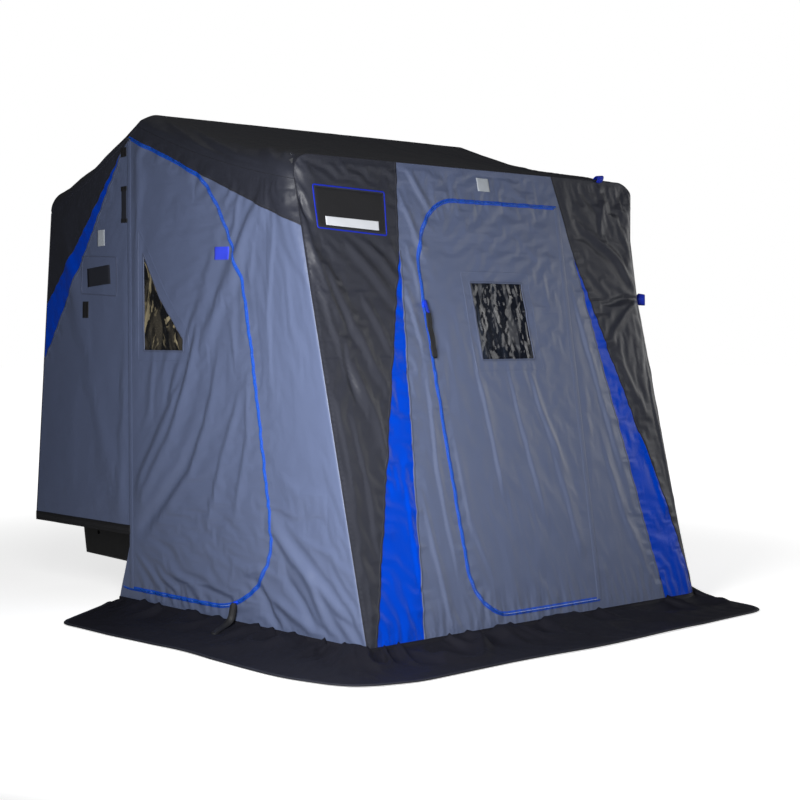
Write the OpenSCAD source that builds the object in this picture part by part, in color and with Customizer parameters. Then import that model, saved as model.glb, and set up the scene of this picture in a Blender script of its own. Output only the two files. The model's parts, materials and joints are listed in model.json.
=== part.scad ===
// Flip-over ice fishing hut: a fabric shell on three pole bows that swing on
// the ends of a moulded tow sled. The wide front wall faces -Y and the sled
// lies along X at the back. All sizes are in millimetres.

/* [Overall] */
// Height of the ridge above the floor
ridge_h = 1970; // [1850:10:2100]
// Width between the outer faces of the side walls
hut_w = 1860; // [1600:10:2100]
// Thickness of the insulated fabric as modelled
cloth_t = 4; // [3:0.5:6]
// Outer radius of the fabric over the pole elbows
corner_r = 92; // [80:2:120]

/* [Front wall] */
// Height of the front wall's top edge
front_top_h = 1742; // [1660:2:1800]
// Distance from the ridge forward to the front wall's top edge
front_top_out = 948; // [850:4:1000]
// Distance from the ridge forward to the front wall's foot
front_foot_out = 1371; // [1250:5:1450]
// Half width of the centre panel at the top
centre_top_w = 424; // [400:4:480]
// Half width of the centre panel level with the gores' tips
centre_tip_w = 480; // [460:4:520]
// Half width of the centre panel at the foot
centre_foot_w = 668; // [600:4:740]
// Half width to the outer edge of the gores at the foot
gore_foot_w = 888; // [800:4:900]
// Height at which the gores run out to a point
gore_tip_h = 1412; // [1300:4:1500]

/* [Front door] */
// Height of the door's bottom edge
door_sill_h = 84; // [70:2:120]
// Height of the door's top edge
door_head_h = 1610; // [1560:5:1640]
// Distance from the middle to the door's free edge
door_free_w = 400; // [340:5:410]
// Distance from the middle to the door's fold line at the head
door_fold_top = 425; // [300:5:430]
// Distance from the middle to the door's fold line at the sill
door_fold_foot = 275; // [240:5:400]
// Width of the front window
window_w = 280; // [200:4:320]
// Height of the front window
window_h = 290; // [200:5:320]
// Height of the front window's lower edge
window_sill_h = 1008; // [900:4:1060]

/* [Side walls] */
// Distance from the ridge back to the side wall's seam over the sled's edge
post_back = 70; // [60:5:100]
// Height of that seam's lower end
post_foot_h = 282; // [260:2:295]
// How far the wall's foot runs back behind the seam
heel_back = 90; // [40:5:120]
// Height of the side wall's top seam at the front corner
shoulder_h = 1484; // [1420:4:1560]
// Height of the side door's bottom edge
side_sill_h = 88; // [70:2:120]
// Distance from the ridge forward to the side door's free edge, low down
side_free_out = 840; // [760:5:860]
// Distance from the ridge forward to the side door's free edge, higher up
side_lean_out = 682; // [620:2:720]
// Height of that higher place
side_lean_h = 1270; // [1200:10:1350]
// Distance from the ridge forward to where the free edge meets the top seam
side_top_out = 395; // [340:5:450]
// Width of the side window at its lower edge
side_window_w = 262; // [180:4:280]
// Height of the side window
side_window_h = 362; // [300:2:400]
// Height of the side window's lower edge
side_window_sill_h = 1040; // [980:5:1100]

/* [Rear] */
// Height of the rear wall's top edge
rear_top_h = 1712; // [1640:4:1780]
// Distance from the ridge back to the rear wall's top edge
rear_top_out = 655; // [600:5:700]
// Distance from the ridge back to the rear wall's foot on the sled
rear_foot_out = 815; // [780:5:880]
// Height of the lower edge of the bands that close the fabric over the sled
band_h = 300; // [285:1:315]
// Depth of those bands
band_w = 38; // [25:1:50]
// Height of the blue stripe's upper edge at the rear corner
stripe_top_h = 1232; // [1150:4:1350]
// Height of the blue stripe's lower edge at the rear corner
stripe_foot_h = 1000; // [900:4:1100]

/* [Snow skirt] */
// Width of the skirt in front
skirt_front_w = 340; // [250:5:400]
// Width of the skirt at the sides
skirt_side_w = 370; // [300:5:400]
// Thickness of the skirt as modelled
skirt_t = 6; // [4:1:8]
// Height at which the walls meet the skirt
skirt_seam_h = 30; // [24:1:40]

/* [Sled] */
// Width of the sled's rim from front to back
sled_w = 715; // [660:5:725]
// Height of the sled's rim
sled_h = 345; // [325:5:360]
// Thickness of the sled's moulded wall
sled_t = 8; // [5:1:12]
// Depth of the runners under the sled
runner_h = 22; // [12:1:30]
// Width of the rolled lip along the rim's long sides
lip_w = 34; // [24:2:44]
// Depth of the rim's turned-down edge
rim_drop = 26; // [18:1:34]
// Width of the deck at the stern end of the rim, which carries a pivot
deck_w = 205; // [160:5:230]
// Width of the deck at the nose end of the rim
nose_deck_w = 165; // [150:5:200]
// How far the flat bottom starts from the rim's nose end
nose_run = 620; // [520:10:680]
// Height of the nose's lower edge
nose_h = 150; // [110:5:180]

/* [Poles] */
// Width of the square poles
pole_w = 25; // [20:1:30]
// Height of the pivots above the floor
pivot_h = 410; // [400:5:440]
// Distance between neighbouring pivots
pivot_pitch = 60; // [50:2:80]

/* [Hidden] */

half_w = hut_w / 2;
// Running gap around a door leaf, taken up by the zip
zip_gap = 5;
// Corded seam that a door leaf folds about, and its clearances on both sides
seam_r = cloth_t / 2;
seam_gap = seam_r + 0.3;
fixed_gap = seam_r + 0.95;
// Small clearance between pieces that only rest on each other
rest_clear = 0.3;
arc_steps = 8;

front_lean = atan((front_foot_out - front_top_out) / front_top_h);
front_reach = skirt_front_w - front_y(skirt_seam_h);
rear_reach = rear_y(band_h + band_w / 2);
ridge_y = (front_reach - rear_reach) / 2;

black = "#2b2c31";
grey = "#5f6980";
blue = "#0f49d6";
clear = "#8fa3ad";
metal = "#a9adb3";
moulded = "#1d1e20";

// ---- places on the walls, measured from the ridge --------------------------
function mix(a, b, t) = a + (b - a) * t;
function front_y(z) = -mix(front_foot_out, front_top_out, z / front_top_h);
function rear_y(z) = mix(rear_foot_out, rear_top_out, (z - band_h) / (rear_top_h - band_h));
// Inner faces of the front and rear walls, where the side walls end
wall_front = cloth_t / cos(front_lean);
function corner_y(z) = front_y(z) + wall_front;
rear_lean = atan((rear_foot_out - rear_top_out) / (rear_top_h - band_h));
wall_back = cloth_t / cos(rear_lean);
function end_back(z) = rear_y(z) - wall_back;
// Height of the roof over a distance back from the ridge, with its slack
roof_sag = 24;
function roof_z(y) =
    let (t = y < 0 ? -y / front_top_out : y / rear_top_out)
    mix(ridge_h, y < 0 ? front_top_h : rear_top_h, t) - 4 * roof_sag * t * (1 - t);
function eave_z(y) = roof_z(y) - corner_r;
// Ends of the roof, which follow the leaning walls, and its edge over the side walls
roof_front = -front_top_out + wall_front;
roof_back = rear_top_out - wall_back;
roof_steps = 6;
function roof_y(y, z) = y < 0
    ? y + (corner_y(z) - corner_y(front_top_h)) * y / roof_front
    : y + (end_back(z) - end_back(rear_top_h)) * y / roof_back;
function eave(y) = [roof_y(y, eave_z(y)), eave_z(y)];
function front_eave(i) = eave(roof_front * i / roof_steps);
function rear_eave(i) = eave(roof_back * i / roof_steps);
// Peak of the side walls, on the roof's edge right over the seam
peak_share = (post_back - rear_eave(0)[0]) / (rear_eave(1)[0] - rear_eave(0)[0]);
peak = mix(rear_eave(0), rear_eave(1), peak_share);
peak_h = peak[1];
// Top seam of the side wall, from the peak down to the front corner
function seam_z(y) = mix(peak_h, shoulder_h, (post_back - y) / (post_back - corner_y(shoulder_h)));

// Quarter of an ellipse about a centre, from angle a0 to a1
function arc(c, rx, rz, a0, a1, n = arc_steps) =
    [for (i = [0 : n]) let (a = mix(a0, a1, i / n)) [c[0] + rx * cos(a), c[1] + rz * sin(a)]];
function bend(p, q, r, n = 6) =
    [for (i = [0 : n]) let (t = i / n) (1-t)*(1-t)*p + 2*t*(1-t)*q + t*t*r];

// ---- makers ------------------------------------------------------------------
module stand() {
    translate([0, ridge_y, 0]) children();
}

// Cloth cut to an outline of [y, z] points, on the left wall or mirrored to the right
module side_cloth(outline, side = -1, inset = 0, t = cloth_t) {
    stand() mirror([side > 0 ? 1 : 0, 0, 0]) translate([-half_w + inset, 0, 0])
        rotate([90, 0, 90]) linear_extrude(t) polygon(outline);
}

// Places a child drawn in the plane of the front wall: x across, y up the slope
module on_front() {
    stand() translate([0, -front_foot_out, 0]) rotate([90 - front_lean, 0, 0]) children();
}
function up(z) = z / cos(front_lean);
function slope(points) = [for (p = points) [p[0], up(p[1])]];
module front_cloth(outline, t = cloth_t, inset = 0) {
    on_front() translate([0, 0, -inset - t]) linear_extrude(t) polygon(slope(outline));
}

// Closed solid between two grids of points of the same size
module shell(outer, inner) {
    rows = len(outer);
    cols = len(outer[0]);
    n = rows * cols;
    points = concat([for (r = outer) each r], [for (r = inner) each r]);
    function at(i, j) = i * cols + j;
    faces = concat(
        [for (i = [0 : rows - 2]) for (j = [0 : cols - 2]) each
            [[at(i, j), at(i, j + 1), at(i + 1, j + 1)], [at(i, j), at(i + 1, j + 1), at(i + 1, j)]]],
        [for (i = [0 : rows - 2]) for (j = [0 : cols - 2]) each
            [[n + at(i, j), n + at(i + 1, j + 1), n + at(i, j + 1)],
             [n + at(i, j), n + at(i + 1, j), n + at(i + 1, j + 1)]]],
        [for (i = [0 : rows - 2]) each
            [[at(i, 0), at(i + 1, 0), n + at(i + 1, 0)], [at(i, 0), n + at(i + 1, 0), n + at(i, 0)]]],
        [for (i = [0 : rows - 2]) let (c = cols - 1) each
            [[at(i, c), n + at(i + 1, c), at(i + 1, c)], [at(i, c), n + at(i, c), n + at(i + 1, c)]]],
        [for (j = [0 : cols - 2]) each
            [[at(0, j), n + at(0, j + 1), at(0, j + 1)], [at(0, j), n + at(0, j), n + at(0, j + 1)]]],
        [for (j = [0 : cols - 2]) let (r = rows - 1) each
            [[at(r, j), at(r, j + 1), n + at(r, j + 1)], [at(r, j), n + at(r, j + 1), n + at(r, j)]]]
    );
    polyhedron(points, faces, convexity = 6);
}

// ---- sled ----------------------------------------------------------------------
sled_clear = 5;
rim_x = half_w - cloth_t - sled_clear;
sled_back = end_back(sled_h) - sled_clear;
sled_front = sled_back - sled_w;
stern_slope = 45;
nose_slope = 15;
side_draft = 22;
stern_run = deck_w + stern_slope;
side_run = lip_w + side_draft;
rim_corner_r = 90;
tub_corner_r = 56;
tub_y = [sled_front + lip_w, sled_back - lip_w];

module plate(x0, x1, y0, y1, r, z, h) {
    translate([0, 0, z]) linear_extrude(h)
        hull() for (x = [x0 + r, x1 - r], y = [y0 + r, y1 - r]) translate([x, y]) circle(r, $fn = 32);
}

// Tub from the rim down to the floor pan, drawn in by a wall thickness
module tub(wall) {
    y0 = tub_y[0] + wall;
    y1 = tub_y[1] - wall;
    hull() {
        plate(-rim_x + nose_deck_w + wall, rim_x - deck_w - wall, y0, y1, tub_corner_r, sled_h - 1, 1);
        plate(-rim_x + nose_deck_w + nose_slope + wall, rim_x - stern_run - wall,
            y0 + side_draft / 2, y1 - side_draft / 2, tub_corner_r, nose_h + wall / 2, 1);
        plate(-rim_x + nose_run + wall, rim_x - stern_run - nose_slope - wall,
            y0 + side_draft, y1 - side_draft, tub_corner_r, runner_h + wall, 1);
    }
}

// Three runners under the floor pan, along the way the sled is towed
runner_w = 34;
runner_ramp = 40;
runner_tail = [60, 30];
runner_root = 6;
module runners() {
    y0 = tub_y[0] + side_draft + tub_corner_r;
    y1 = tub_y[1] - side_draft - tub_corner_r;
    for (y = [y0, (y0 + y1) / 2, y1]) translate([0, y + runner_w / 2, 0])
        rotate([90, 0, 0]) linear_extrude(runner_w) polygon([
            [-rim_x + nose_run - runner_ramp, runner_h + runner_ramp / 2], [-rim_x + nose_run + runner_ramp, 0],
            [rim_x - stern_run - runner_tail[0], 0], [rim_x - stern_run - runner_tail[1], runner_h + runner_root]]);
}

// Upright ribs pressed into the tub's long sides, from the rim down the slope of the wall
rib_r = 13;
rib_pitch = 150;
rib_count = 6;
rib_foot = 70;
module ribs() {
    rise = sled_h - sled_t - rib_foot;
    lean = atan(side_draft / (sled_h - runner_h));
    sink = rib_r * 0.45;
    for (i = [0 : rib_count - 1]) translate([(i - (rib_count - 1) / 2) * rib_pitch, 0, 0]) {
        translate([0, tub_y[0] + side_draft * (1 - rib_foot / sled_h) + sink, rib_foot])
            rotate([lean, 0, 0]) cylinder(r = rib_r, h = rise / cos(lean), $fn = 20);
        translate([0, tub_y[1] - side_draft * (1 - rib_foot / sled_h) - sink, rib_foot])
            rotate([-lean, 0, 0]) cylinder(r = rib_r, h = rise / cos(lean), $fn = 20);
    }
}

// Rim with its edge turned down all round, as a moulder stiffens it
module rim() {
    difference() {
        plate(-rim_x, rim_x, sled_front, sled_back, rim_corner_r, sled_h - rim_drop, rim_drop);
        plate(-rim_x + sled_t, rim_x - sled_t, sled_front + sled_t, sled_back - sled_t,
            rim_corner_r - sled_t, sled_h - rim_drop - 1, rim_drop - sled_t + 1);
    }
}

// Two holes in the nose wall for a tow rope
tow_hole_r = 9;
tow_pitch = 320;
module tow_holes() {
    for (s = [-1, 1]) translate([-rim_x + nose_deck_w - nose_slope, (tub_y[0] + tub_y[1] + s * tow_pitch) / 2,
        (sled_h + nose_h) / 2]) rotate([0, 90, 0]) cylinder(r = tow_hole_r, h = 4 * nose_slope, $fn = 24);
}

module sled() {
    color(moulded) stand() difference() {
        union() {
            tub(0);
            rim();
            runners();
            ribs();
        }
        tub(sled_t);
        tow_holes();
        plate(-rim_x + nose_deck_w + sled_t, rim_x - deck_w - sled_t, tub_y[0] + sled_t,
            tub_y[1] - sled_t, tub_corner_r, sled_h - 2, 4);
    }
}

// ---- pivots and bows -----------------------------------------------------------
pole_x = half_w - cloth_t - rest_clear - pole_w / 2;
bracket_t = 6;
bracket_edge = 30;
bracket_top = 24;
bracket_foot = 30;
bracket_l = 2 * (pivot_pitch + bracket_edge);
boss_l = 8;
bracket_x = pole_x - pole_w / 2 - boss_l - bracket_t;
boss_r = 11;
// Nuts on the pivot pins, bolts in the foot, and the webs that stiffen the bracket
nut_r = 9;
nut_h = 6;
foot_bolt_r = 6;
foot_bolt_h = 4;
web_t = 5;
web_h = 34;

pivot_back = 55;
function pivot_y(i) = post_back + pivot_back + i * pivot_pitch;

module pivot(side) {
    color(metal) stand() mirror([side > 0 ? 0 : 1, 0, 0]) {
        translate([bracket_x, pivot_y(-1) - bracket_edge, sled_h])
            cube([bracket_t, bracket_l, pivot_h + bracket_top - sled_h]);
        translate([bracket_x - bracket_foot, pivot_y(-1) - bracket_edge, sled_h])
            cube([bracket_foot + bracket_t, bracket_l, bracket_t]);
        for (i = [-1 : 1]) {
            translate([bracket_x + bracket_t, pivot_y(i), pivot_h]) rotate([0, 90, 0]) cylinder(r = boss_r, h = boss_l);
            translate([bracket_x - nut_h, pivot_y(i), pivot_h]) rotate([0, 90, 0]) cylinder(r = nut_r, h = nut_h, $fn = 6);
        }
        for (i = [-1, 1]) {
            translate([bracket_x - bracket_foot / 2, pivot_y(i), sled_h + bracket_t])
                cylinder(r = foot_bolt_r, h = foot_bolt_h, $fn = 6);
            translate([bracket_x, pivot_y(i / 2) - web_t / 2, sled_h + bracket_t]) rotate([90, 0, 180])
                mirror([0, 0, 1]) translate([0, 0, -web_t]) linear_extrude(web_t)
                    polygon([[0, 0], [bracket_foot - web_t, 0], [0, web_h]]);
        }
    }
}

// One bow: two legs from the pivots, two elbows and a bar across the top, under cloth at under_z
elbow_slack = 4;
elbow_r = corner_r + elbow_slack - pole_w / 2;
// Each leg slides out of a sleeve, which ends in a clamp collar with a thumb screw
collar_share = 0.46;
collar_h = 38;
collar_t = 4;
thumb_r = 9;
thumb_l = 14;
module bow(i, top_y, under_z) {
    run = top_y - pivot_y(i);
    lean = atan(run / (under_z - pole_w - pivot_h));
    rise = under_z - rest_clear - pole_w / 2 * (cos(lean) + sin(abs(lean))) - pivot_h;
    reach = norm([rise, run]);
    foot = 16;
    color(metal) stand() translate([0, pivot_y(i), pivot_h]) rotate([-atan(run / rise), 0, 0]) {
        for (s = [-1, 1]) {
            translate([s * pole_x - pole_w / 2, -pole_w / 2, -foot])
                cube([pole_w, pole_w, reach - elbow_r + foot]);
            mirror([s < 0 ? 1 : 0, 0, 0]) translate([pole_x - pole_w / 2 - collar_t, -pole_w / 2 - collar_t,
                reach * collar_share]) {
                cube([pole_w + collar_t, pole_w + 2 * collar_t, collar_h]);
                translate([-thumb_l, pole_w / 2 + collar_t, collar_h / 2]) rotate([0, 90, 0])
                    cylinder(r = thumb_r, h = thumb_l + collar_t / 2);
            }
            translate([s * (pole_x - elbow_r), 0, reach - elbow_r]) mirror([s < 0 ? 1 : 0, 0, 0])
                rotate([90, 0, 0]) rotate_extrude(angle = 90, $fn = 48)
                    translate([elbow_r, 0]) square(pole_w, center = true);
        }
        translate([-pole_x + elbow_r, -pole_w / 2, reach - pole_w / 2])
            cube([2 * (pole_x - elbow_r), pole_w, pole_w]);
    }
}

// Underside of the roof's cloth over a bar at y
function under(y) = min(roof_z(y - pole_w * 0.7), roof_z(y + pole_w * 0.7)) - cloth_t;
bar_back = 34;
module rear_bow() { bow(1, rear_top_out - bar_back, under(rear_top_out - bar_back)); }
module centre_bow() { bow(0, 0, under(0)); }
module front_bow() { bow(-1, -front_top_out + bar_back, under(-front_top_out + bar_back)); }

// ---- roof ------------------------------------------------------------------------
// Section of the roof over one place: eave, elbow, top, elbow, eave
elbow_steps = 6;
function roof_row(y, off) =
    let (z = roof_z(y), r = corner_r, half = concat(
        [for (k = [0 : elbow_steps]) let (a = 180 - 90 * k / elbow_steps, h = z - r + (r - off) * sin(a))
            [-half_w + r + (r - off) * cos(a), roof_y(y, h), h]],
        [[-half_w * 0.45, roof_y(y, z - off), z - off]]))
    concat(half, [for (k = [len(half) - 1 : -1 : 0]) [-half[k][0], half[k][1], half[k][2]]]);
module roof(y0, y1) {
    color(black) stand() shell(
        [for (i = [0 : roof_steps]) roof_row(mix(y0, y1, i / roof_steps), 0)],
        [for (i = [0 : roof_steps]) roof_row(mix(y0, y1, i / roof_steps), cloth_t)]);
}
module front_roof() { roof(roof_front, 0); }
module rear_roof() { roof(0, roof_back); }

// ---- rear ------------------------------------------------------------------------
module rear_wall() {
    foot_h = band_h + band_w + cloth_t * sin(rear_lean);
    h = (rear_top_h - foot_h) / cos(rear_lean);
    color(black) stand() translate([0, rear_y(foot_h), foot_h]) rotate([90 + rear_lean, 0, 0])
        linear_extrude(cloth_t) polygon(concat(
            [[-half_w, 0], [half_w, 0]],
            arc([half_w - corner_r, h - corner_r], corner_r, corner_r, 0, 90, 5),
            arc([-half_w + corner_r, h - corner_r], corner_r, corner_r, 90, 180, 5)));
}

module sled_bands() {
    y1 = rear_reach - cloth_t - rest_clear;
    color(black) {
        for (s = [-1, 1])
            side_cloth([[end_front, band_h], [y1, band_h], [y1, band_h + band_w], [end_front, band_h + band_w]], s);
        stand() translate([-half_w, rear_reach - cloth_t, band_h]) cube([hut_w, cloth_t, band_w]);
    }
}

// Seams on the end of the hut, over the sled
stripe_top = [end_back(stripe_top_h), stripe_top_h];
stripe_foot = [end_back(stripe_foot_h), stripe_foot_h];
tip_run = 60;
stripe_tip = [post_back + tip_run, mix(peak_h, stripe_top_h, tip_run / (stripe_top[0] - post_back))];
end_front = post_back + fixed_gap;

module rear_shoulder(side) {
    color(black) side_cloth(concat([peak, stripe_top], [for (i = [roof_steps : -1 : 1]) rear_eave(i)]), side);
}
module stripe(side) {
    color(blue) side_cloth([stripe_tip, stripe_foot, stripe_top], side);
}
module end_panel(side) {
    z0 = band_h + band_w;
    color(grey) side_cloth([[end_front, z0], [end_back(z0), z0], stripe_foot, stripe_tip,
        [end_front, mix(peak[1], stripe_tip[1], fixed_gap / tip_run)]], side);
}

// ---- side walls ------------------------------------------------------------------
// Free edge of the side door's leaf, from the sill up to the top seam, grown by g
side_arc_w = 350;
side_arc_h = 300;
side_bend_h = 300;
side_bend_share = 0.45;
function side_free(g) =
    let (low = side_sill_h - g, free = -side_free_out - g)
    concat(
        arc([free + side_arc_w, low + side_arc_h], side_arc_w, side_arc_h, 270, 180),
        bend([-side_lean_out - g, side_lean_h], [-mix(side_lean_out, side_top_out, side_bend_share) - g, side_lean_h + side_bend_h],
            [-side_top_out - g, seam_z(-side_top_out - g) - zip_gap + g]));
function side_leaf(g) =
    let (y = post_back - seam_gap)
    concat([[y, seam_z(y) - zip_gap + g], [y, side_sill_h - g]], side_free(g));
// Window of the side door: upright at the back, with a slanting edge in front
window_back = -30;
window_slant = [[0.42, 0.55], [1, 0.12]];
function window_points(g) =
    let (y1 = window_back + g, z0 = side_window_sill_h - g, w = side_window_w + 2 * g, h = side_window_h + 2 * g)
    concat([[y1, z0], [y1, z0 + h]], [for (k = window_slant) [y1 - w * k[0], z0 + h * k[1]]], [[y1 - w, z0]]);

module side_door(side) {
    color(grey) difference() {
        side_cloth(side_leaf(0), side);
        side_cloth(window_points(0), side, -1, cloth_t + 2);
    }
}
module side_window(side) {
    color(clear) side_cloth(window_points(0), side, 1, cloth_t - 2);
}
split_y = -side_free_out - zip_gap + side_arc_w;
module side_panel(side) {
    z0 = skirt_seam_h;
    color(grey) side_cloth(concat([[split_y, z0]], side_free(zip_gap),
        [[corner_y(shoulder_h), shoulder_h], [corner_y(z0), z0]]), side);
}
module sill(side) {
    z0 = skirt_seam_h;
    z1 = side_sill_h - zip_gap;
    color(grey) side_cloth([[split_y, z0], [post_back + heel_back, z0], [end_front, post_foot_h],
        [end_front, z1], [split_y, z1]], side);
}
module shoulder(side) {
    color(black) side_cloth(concat([[corner_y(shoulder_h), shoulder_h], peak],
        [for (i = [0 : roof_steps]) front_eave(i)]), side);
}

// ---- front wall ------------------------------------------------------------------
module corner_panel(side) {
    r = corner_r;
    z1 = front_top_h;
    color(black) front_cloth([for (p = concat(
        [[-half_w, skirt_seam_h], [-gore_foot_w, skirt_seam_h], [-centre_w(gore_tip_h), gore_tip_h],
            [-centre_top_w, z1]],
        arc([-half_w + r, z1 - r], r, r, 90, 180, 5))) [side * -p[0], p[1]]]);
}
// Half width of the centre panel at a height
function centre_w(z) = lookup(z,
    [[skirt_seam_h, centre_foot_w], [gore_tip_h, centre_tip_w], [front_top_h, centre_top_w]]);
module gore(side) {
    color(blue) front_cloth([for (p = [[-gore_foot_w, skirt_seam_h], [-centre_foot_w, skirt_seam_h],
        [-centre_w(gore_tip_h), gore_tip_h]]) [side * -p[0], p[1]]]);
}
// Free edge of the front door's leaf, from the head down to the sill, grown by g
head_arc = [240, 320];
foot_arc = [170, 190];
function front_free(g) =
    let (low = door_sill_h - g, high = door_head_h + g, free = -door_free_w - g)
    concat(
        arc([free + head_arc[0], high - head_arc[1]], head_arc[0], head_arc[1], 90, 180),
        arc([free + foot_arc[0], low + foot_arc[1]], foot_arc[0], foot_arc[1], 180, 270));
module front_panel(outline) { color(grey) front_cloth(outline); }
// Distance from the middle to the fold line at a height, moved sideways by g
fold_lean = atan((door_fold_top - door_fold_foot) / (up(door_head_h) - up(door_sill_h)));
function fold_x(z, g) =
    mix(door_fold_foot, door_fold_top, (z - door_sill_h) / (door_head_h - door_sill_h)) + g / cos(fold_lean);
door_low = door_sill_h - zip_gap;
door_high = door_head_h + zip_gap;
module front_head() {
    front_panel([[-centre_w(door_high), door_high], [centre_w(door_high), door_high],
        [centre_top_w, front_top_h], [-centre_top_w, front_top_h]]);
}
module front_sill() {
    front_panel([[-centre_foot_w, skirt_seam_h], [centre_foot_w, skirt_seam_h],
        [centre_w(door_low), door_low], [-centre_w(door_low), door_low]]);
}
module front_jamb_left() {
    front_panel(concat([[-centre_w(door_low), door_low], [-centre_tip_w, gore_tip_h],
        [-centre_w(door_high), door_high]], front_free(zip_gap)));
}
module front_jamb_right() {
    front_panel([[fold_x(door_low, fixed_gap), door_low], [centre_w(door_low), door_low],
        [centre_tip_w, gore_tip_h], [centre_w(door_high), door_high], [fold_x(door_high, fixed_gap), door_high]]);
}

function pane(g) =
    let (x = window_w / 2 + g, z0 = window_sill_h - g, z1 = window_sill_h + window_h + g)
    [[-x, z0], [x, z0], [x, z1], [-x, z1]];
module front_door() {
    color(grey) difference() {
        front_cloth(concat([[fold_x(door_sill_h, -seam_gap), door_sill_h],
            [fold_x(door_head_h, -seam_gap), door_head_h]], front_free(0)));
        front_cloth(pane(0), cloth_t + 2, -1);
    }
}
module front_window() { color(clear) front_cloth(pane(0), cloth_t - 2, 1); }

// ---- door seams ------------------------------------------------------------------
module door_seams() {
    color(blue) {
        for (s = [-1, 1]) stand()
            translate([s * (half_w - cloth_t / 2), post_back, side_sill_h])
                cylinder(r = seam_r, h = peak_h - side_sill_h - 20, $fn = 24);
        on_front() translate([door_fold_foot, up(door_sill_h), -cloth_t / 2]) rotate([0, 0, -fold_lean])
            rotate([-90, 0, 0])
                cylinder(r = seam_r, h = (up(door_head_h) - up(door_sill_h)) / cos(fold_lean), $fn = 24);
    }
}

// ---- snow skirt -------------------------------------------------------------------
// Heights across the skirt, from under the wall's foot to its outer edge
skirt_drop = [[-cloth_t, 0], [2, 0], [28, 14], [70, skirt_seam_h - skirt_t]];
function skirt_row(foot, edge, top, off) =
    let (d = edge - foot, u = d / norm(d))
    [for (i = [0 : 4]) let (p = i < 4 ? foot + u * skirt_drop[i][0] : edge)
        [p[0], p[1], max(i < 3 ? top - skirt_drop[i][1] - off : skirt_t - off, 0)]];
module skirt(feet, edges, top) {
    color(black) stand() shell(
        [for (i = [0 : len(feet) - 1]) skirt_row(feet[i], edges[i], top, 0)],
        [for (i = [0 : len(feet) - 1]) skirt_row(feet[i], edges[i], top, skirt_t)]);
}
foot_y = front_y(skirt_seam_h);
out_y = foot_y - skirt_front_w;
out_x = half_w + skirt_side_w;
// Outer edges of the skirts: how far the corners are cut in and where the edges bend
cut_x = 105;
cut_y = 20;
flare = [160, 120];
edge_bends = [-24, -160, -700];
left_corner_edge = [-out_x + cut_x, out_y + cut_y];
right_corner_edge = [half_w, out_y + cut_y];
module front_skirt() {
    skirt([for (x = [-half_w, -half_w / 2, 0, half_w / 2, half_w]) [x, foot_y]],
        [left_corner_edge, [-half_w / 2, out_y], [0, out_y], [half_w / 2, out_y], right_corner_edge],
        skirt_seam_h - cloth_t * sin(front_lean));
}
heel_y = post_back + heel_back;
module left_skirt() {
    skirt([for (t = [0, 0.1, 0.5, 0.9, 1]) [-half_w, mix(heel_y, foot_y, t)]],
        concat([for (y = edge_bends) [-out_x, y]], [[-out_x, foot_y - flare[1] / 2], left_corner_edge]),
        skirt_seam_h);
}
module right_skirt() {
    skirt([for (t = [1, 0.9, 0.5, 0.1, 0]) [half_w, mix(heel_y, foot_y, t)]],
        concat([right_corner_edge, [half_w + flare[0], foot_y + flare[1]]],
            [for (i = [2 : -1 : 0]) [out_x, edge_bends[i]]]),
        skirt_seam_h);
}

sled();
pivot(-1);  // left_pivot
pivot(1);  // right_pivot
rear_bow();
centre_bow();
front_bow();
front_roof();
rear_roof();
rear_wall();
shoulder(-1);  // left_shoulder
shoulder(1);  // right_shoulder
rear_shoulder(-1);  // left_rear_shoulder
rear_shoulder(1);  // right_rear_shoulder
stripe(-1);  // left_stripe
stripe(1);  // right_stripe
end_panel(-1);  // left_end_panel
end_panel(1);  // right_end_panel
sled_bands();
side_panel(-1);  // left_side_panel
side_panel(1);  // right_side_panel
sill(-1);  // left_sill
sill(1);  // right_sill
side_door(-1);  // left_door
side_window(-1);  // left_window
side_door(1);  // right_door
side_window(1);  // right_window
corner_panel(-1);  // left_corner
corner_panel(1);  // right_corner
gore(-1);  // left_gore
gore(1);  // right_gore
front_head();
front_jamb_left();
front_jamb_right();
front_sill();
front_door();
front_window();
front_skirt();
left_skirt();
right_skirt();
door_seams();
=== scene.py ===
# %% [markdown]
# This lesson dresses a flip-over ice fishing hut: a fabric shell on three pole bows that swing on a tow sled.
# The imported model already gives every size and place, so the first step loads it as a fixed frame.
# Sizes are read from the frame and not typed again, because the cloth must meet the poles exactly.

# %% Load the frame
import json
import math
import bpy
import numpy as np
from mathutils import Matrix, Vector, geometry


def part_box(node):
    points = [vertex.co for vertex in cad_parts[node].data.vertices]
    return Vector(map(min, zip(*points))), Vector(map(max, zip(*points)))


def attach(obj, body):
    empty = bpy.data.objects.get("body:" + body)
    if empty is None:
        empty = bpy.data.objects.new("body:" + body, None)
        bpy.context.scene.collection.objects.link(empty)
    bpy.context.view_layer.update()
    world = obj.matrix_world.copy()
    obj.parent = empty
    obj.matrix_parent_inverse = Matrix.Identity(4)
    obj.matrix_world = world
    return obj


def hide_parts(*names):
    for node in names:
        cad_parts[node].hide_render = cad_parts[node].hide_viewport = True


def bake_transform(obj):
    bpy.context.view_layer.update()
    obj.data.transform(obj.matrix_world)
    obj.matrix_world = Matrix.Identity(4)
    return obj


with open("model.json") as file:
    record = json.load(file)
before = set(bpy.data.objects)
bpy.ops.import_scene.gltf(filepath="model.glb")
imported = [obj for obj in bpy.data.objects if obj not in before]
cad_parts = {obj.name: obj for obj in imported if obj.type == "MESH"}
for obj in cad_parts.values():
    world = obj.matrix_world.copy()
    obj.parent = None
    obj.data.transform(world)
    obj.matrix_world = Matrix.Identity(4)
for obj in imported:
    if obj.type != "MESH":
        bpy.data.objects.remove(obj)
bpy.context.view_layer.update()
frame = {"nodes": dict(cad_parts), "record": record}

scene = bpy.context.scene

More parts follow.
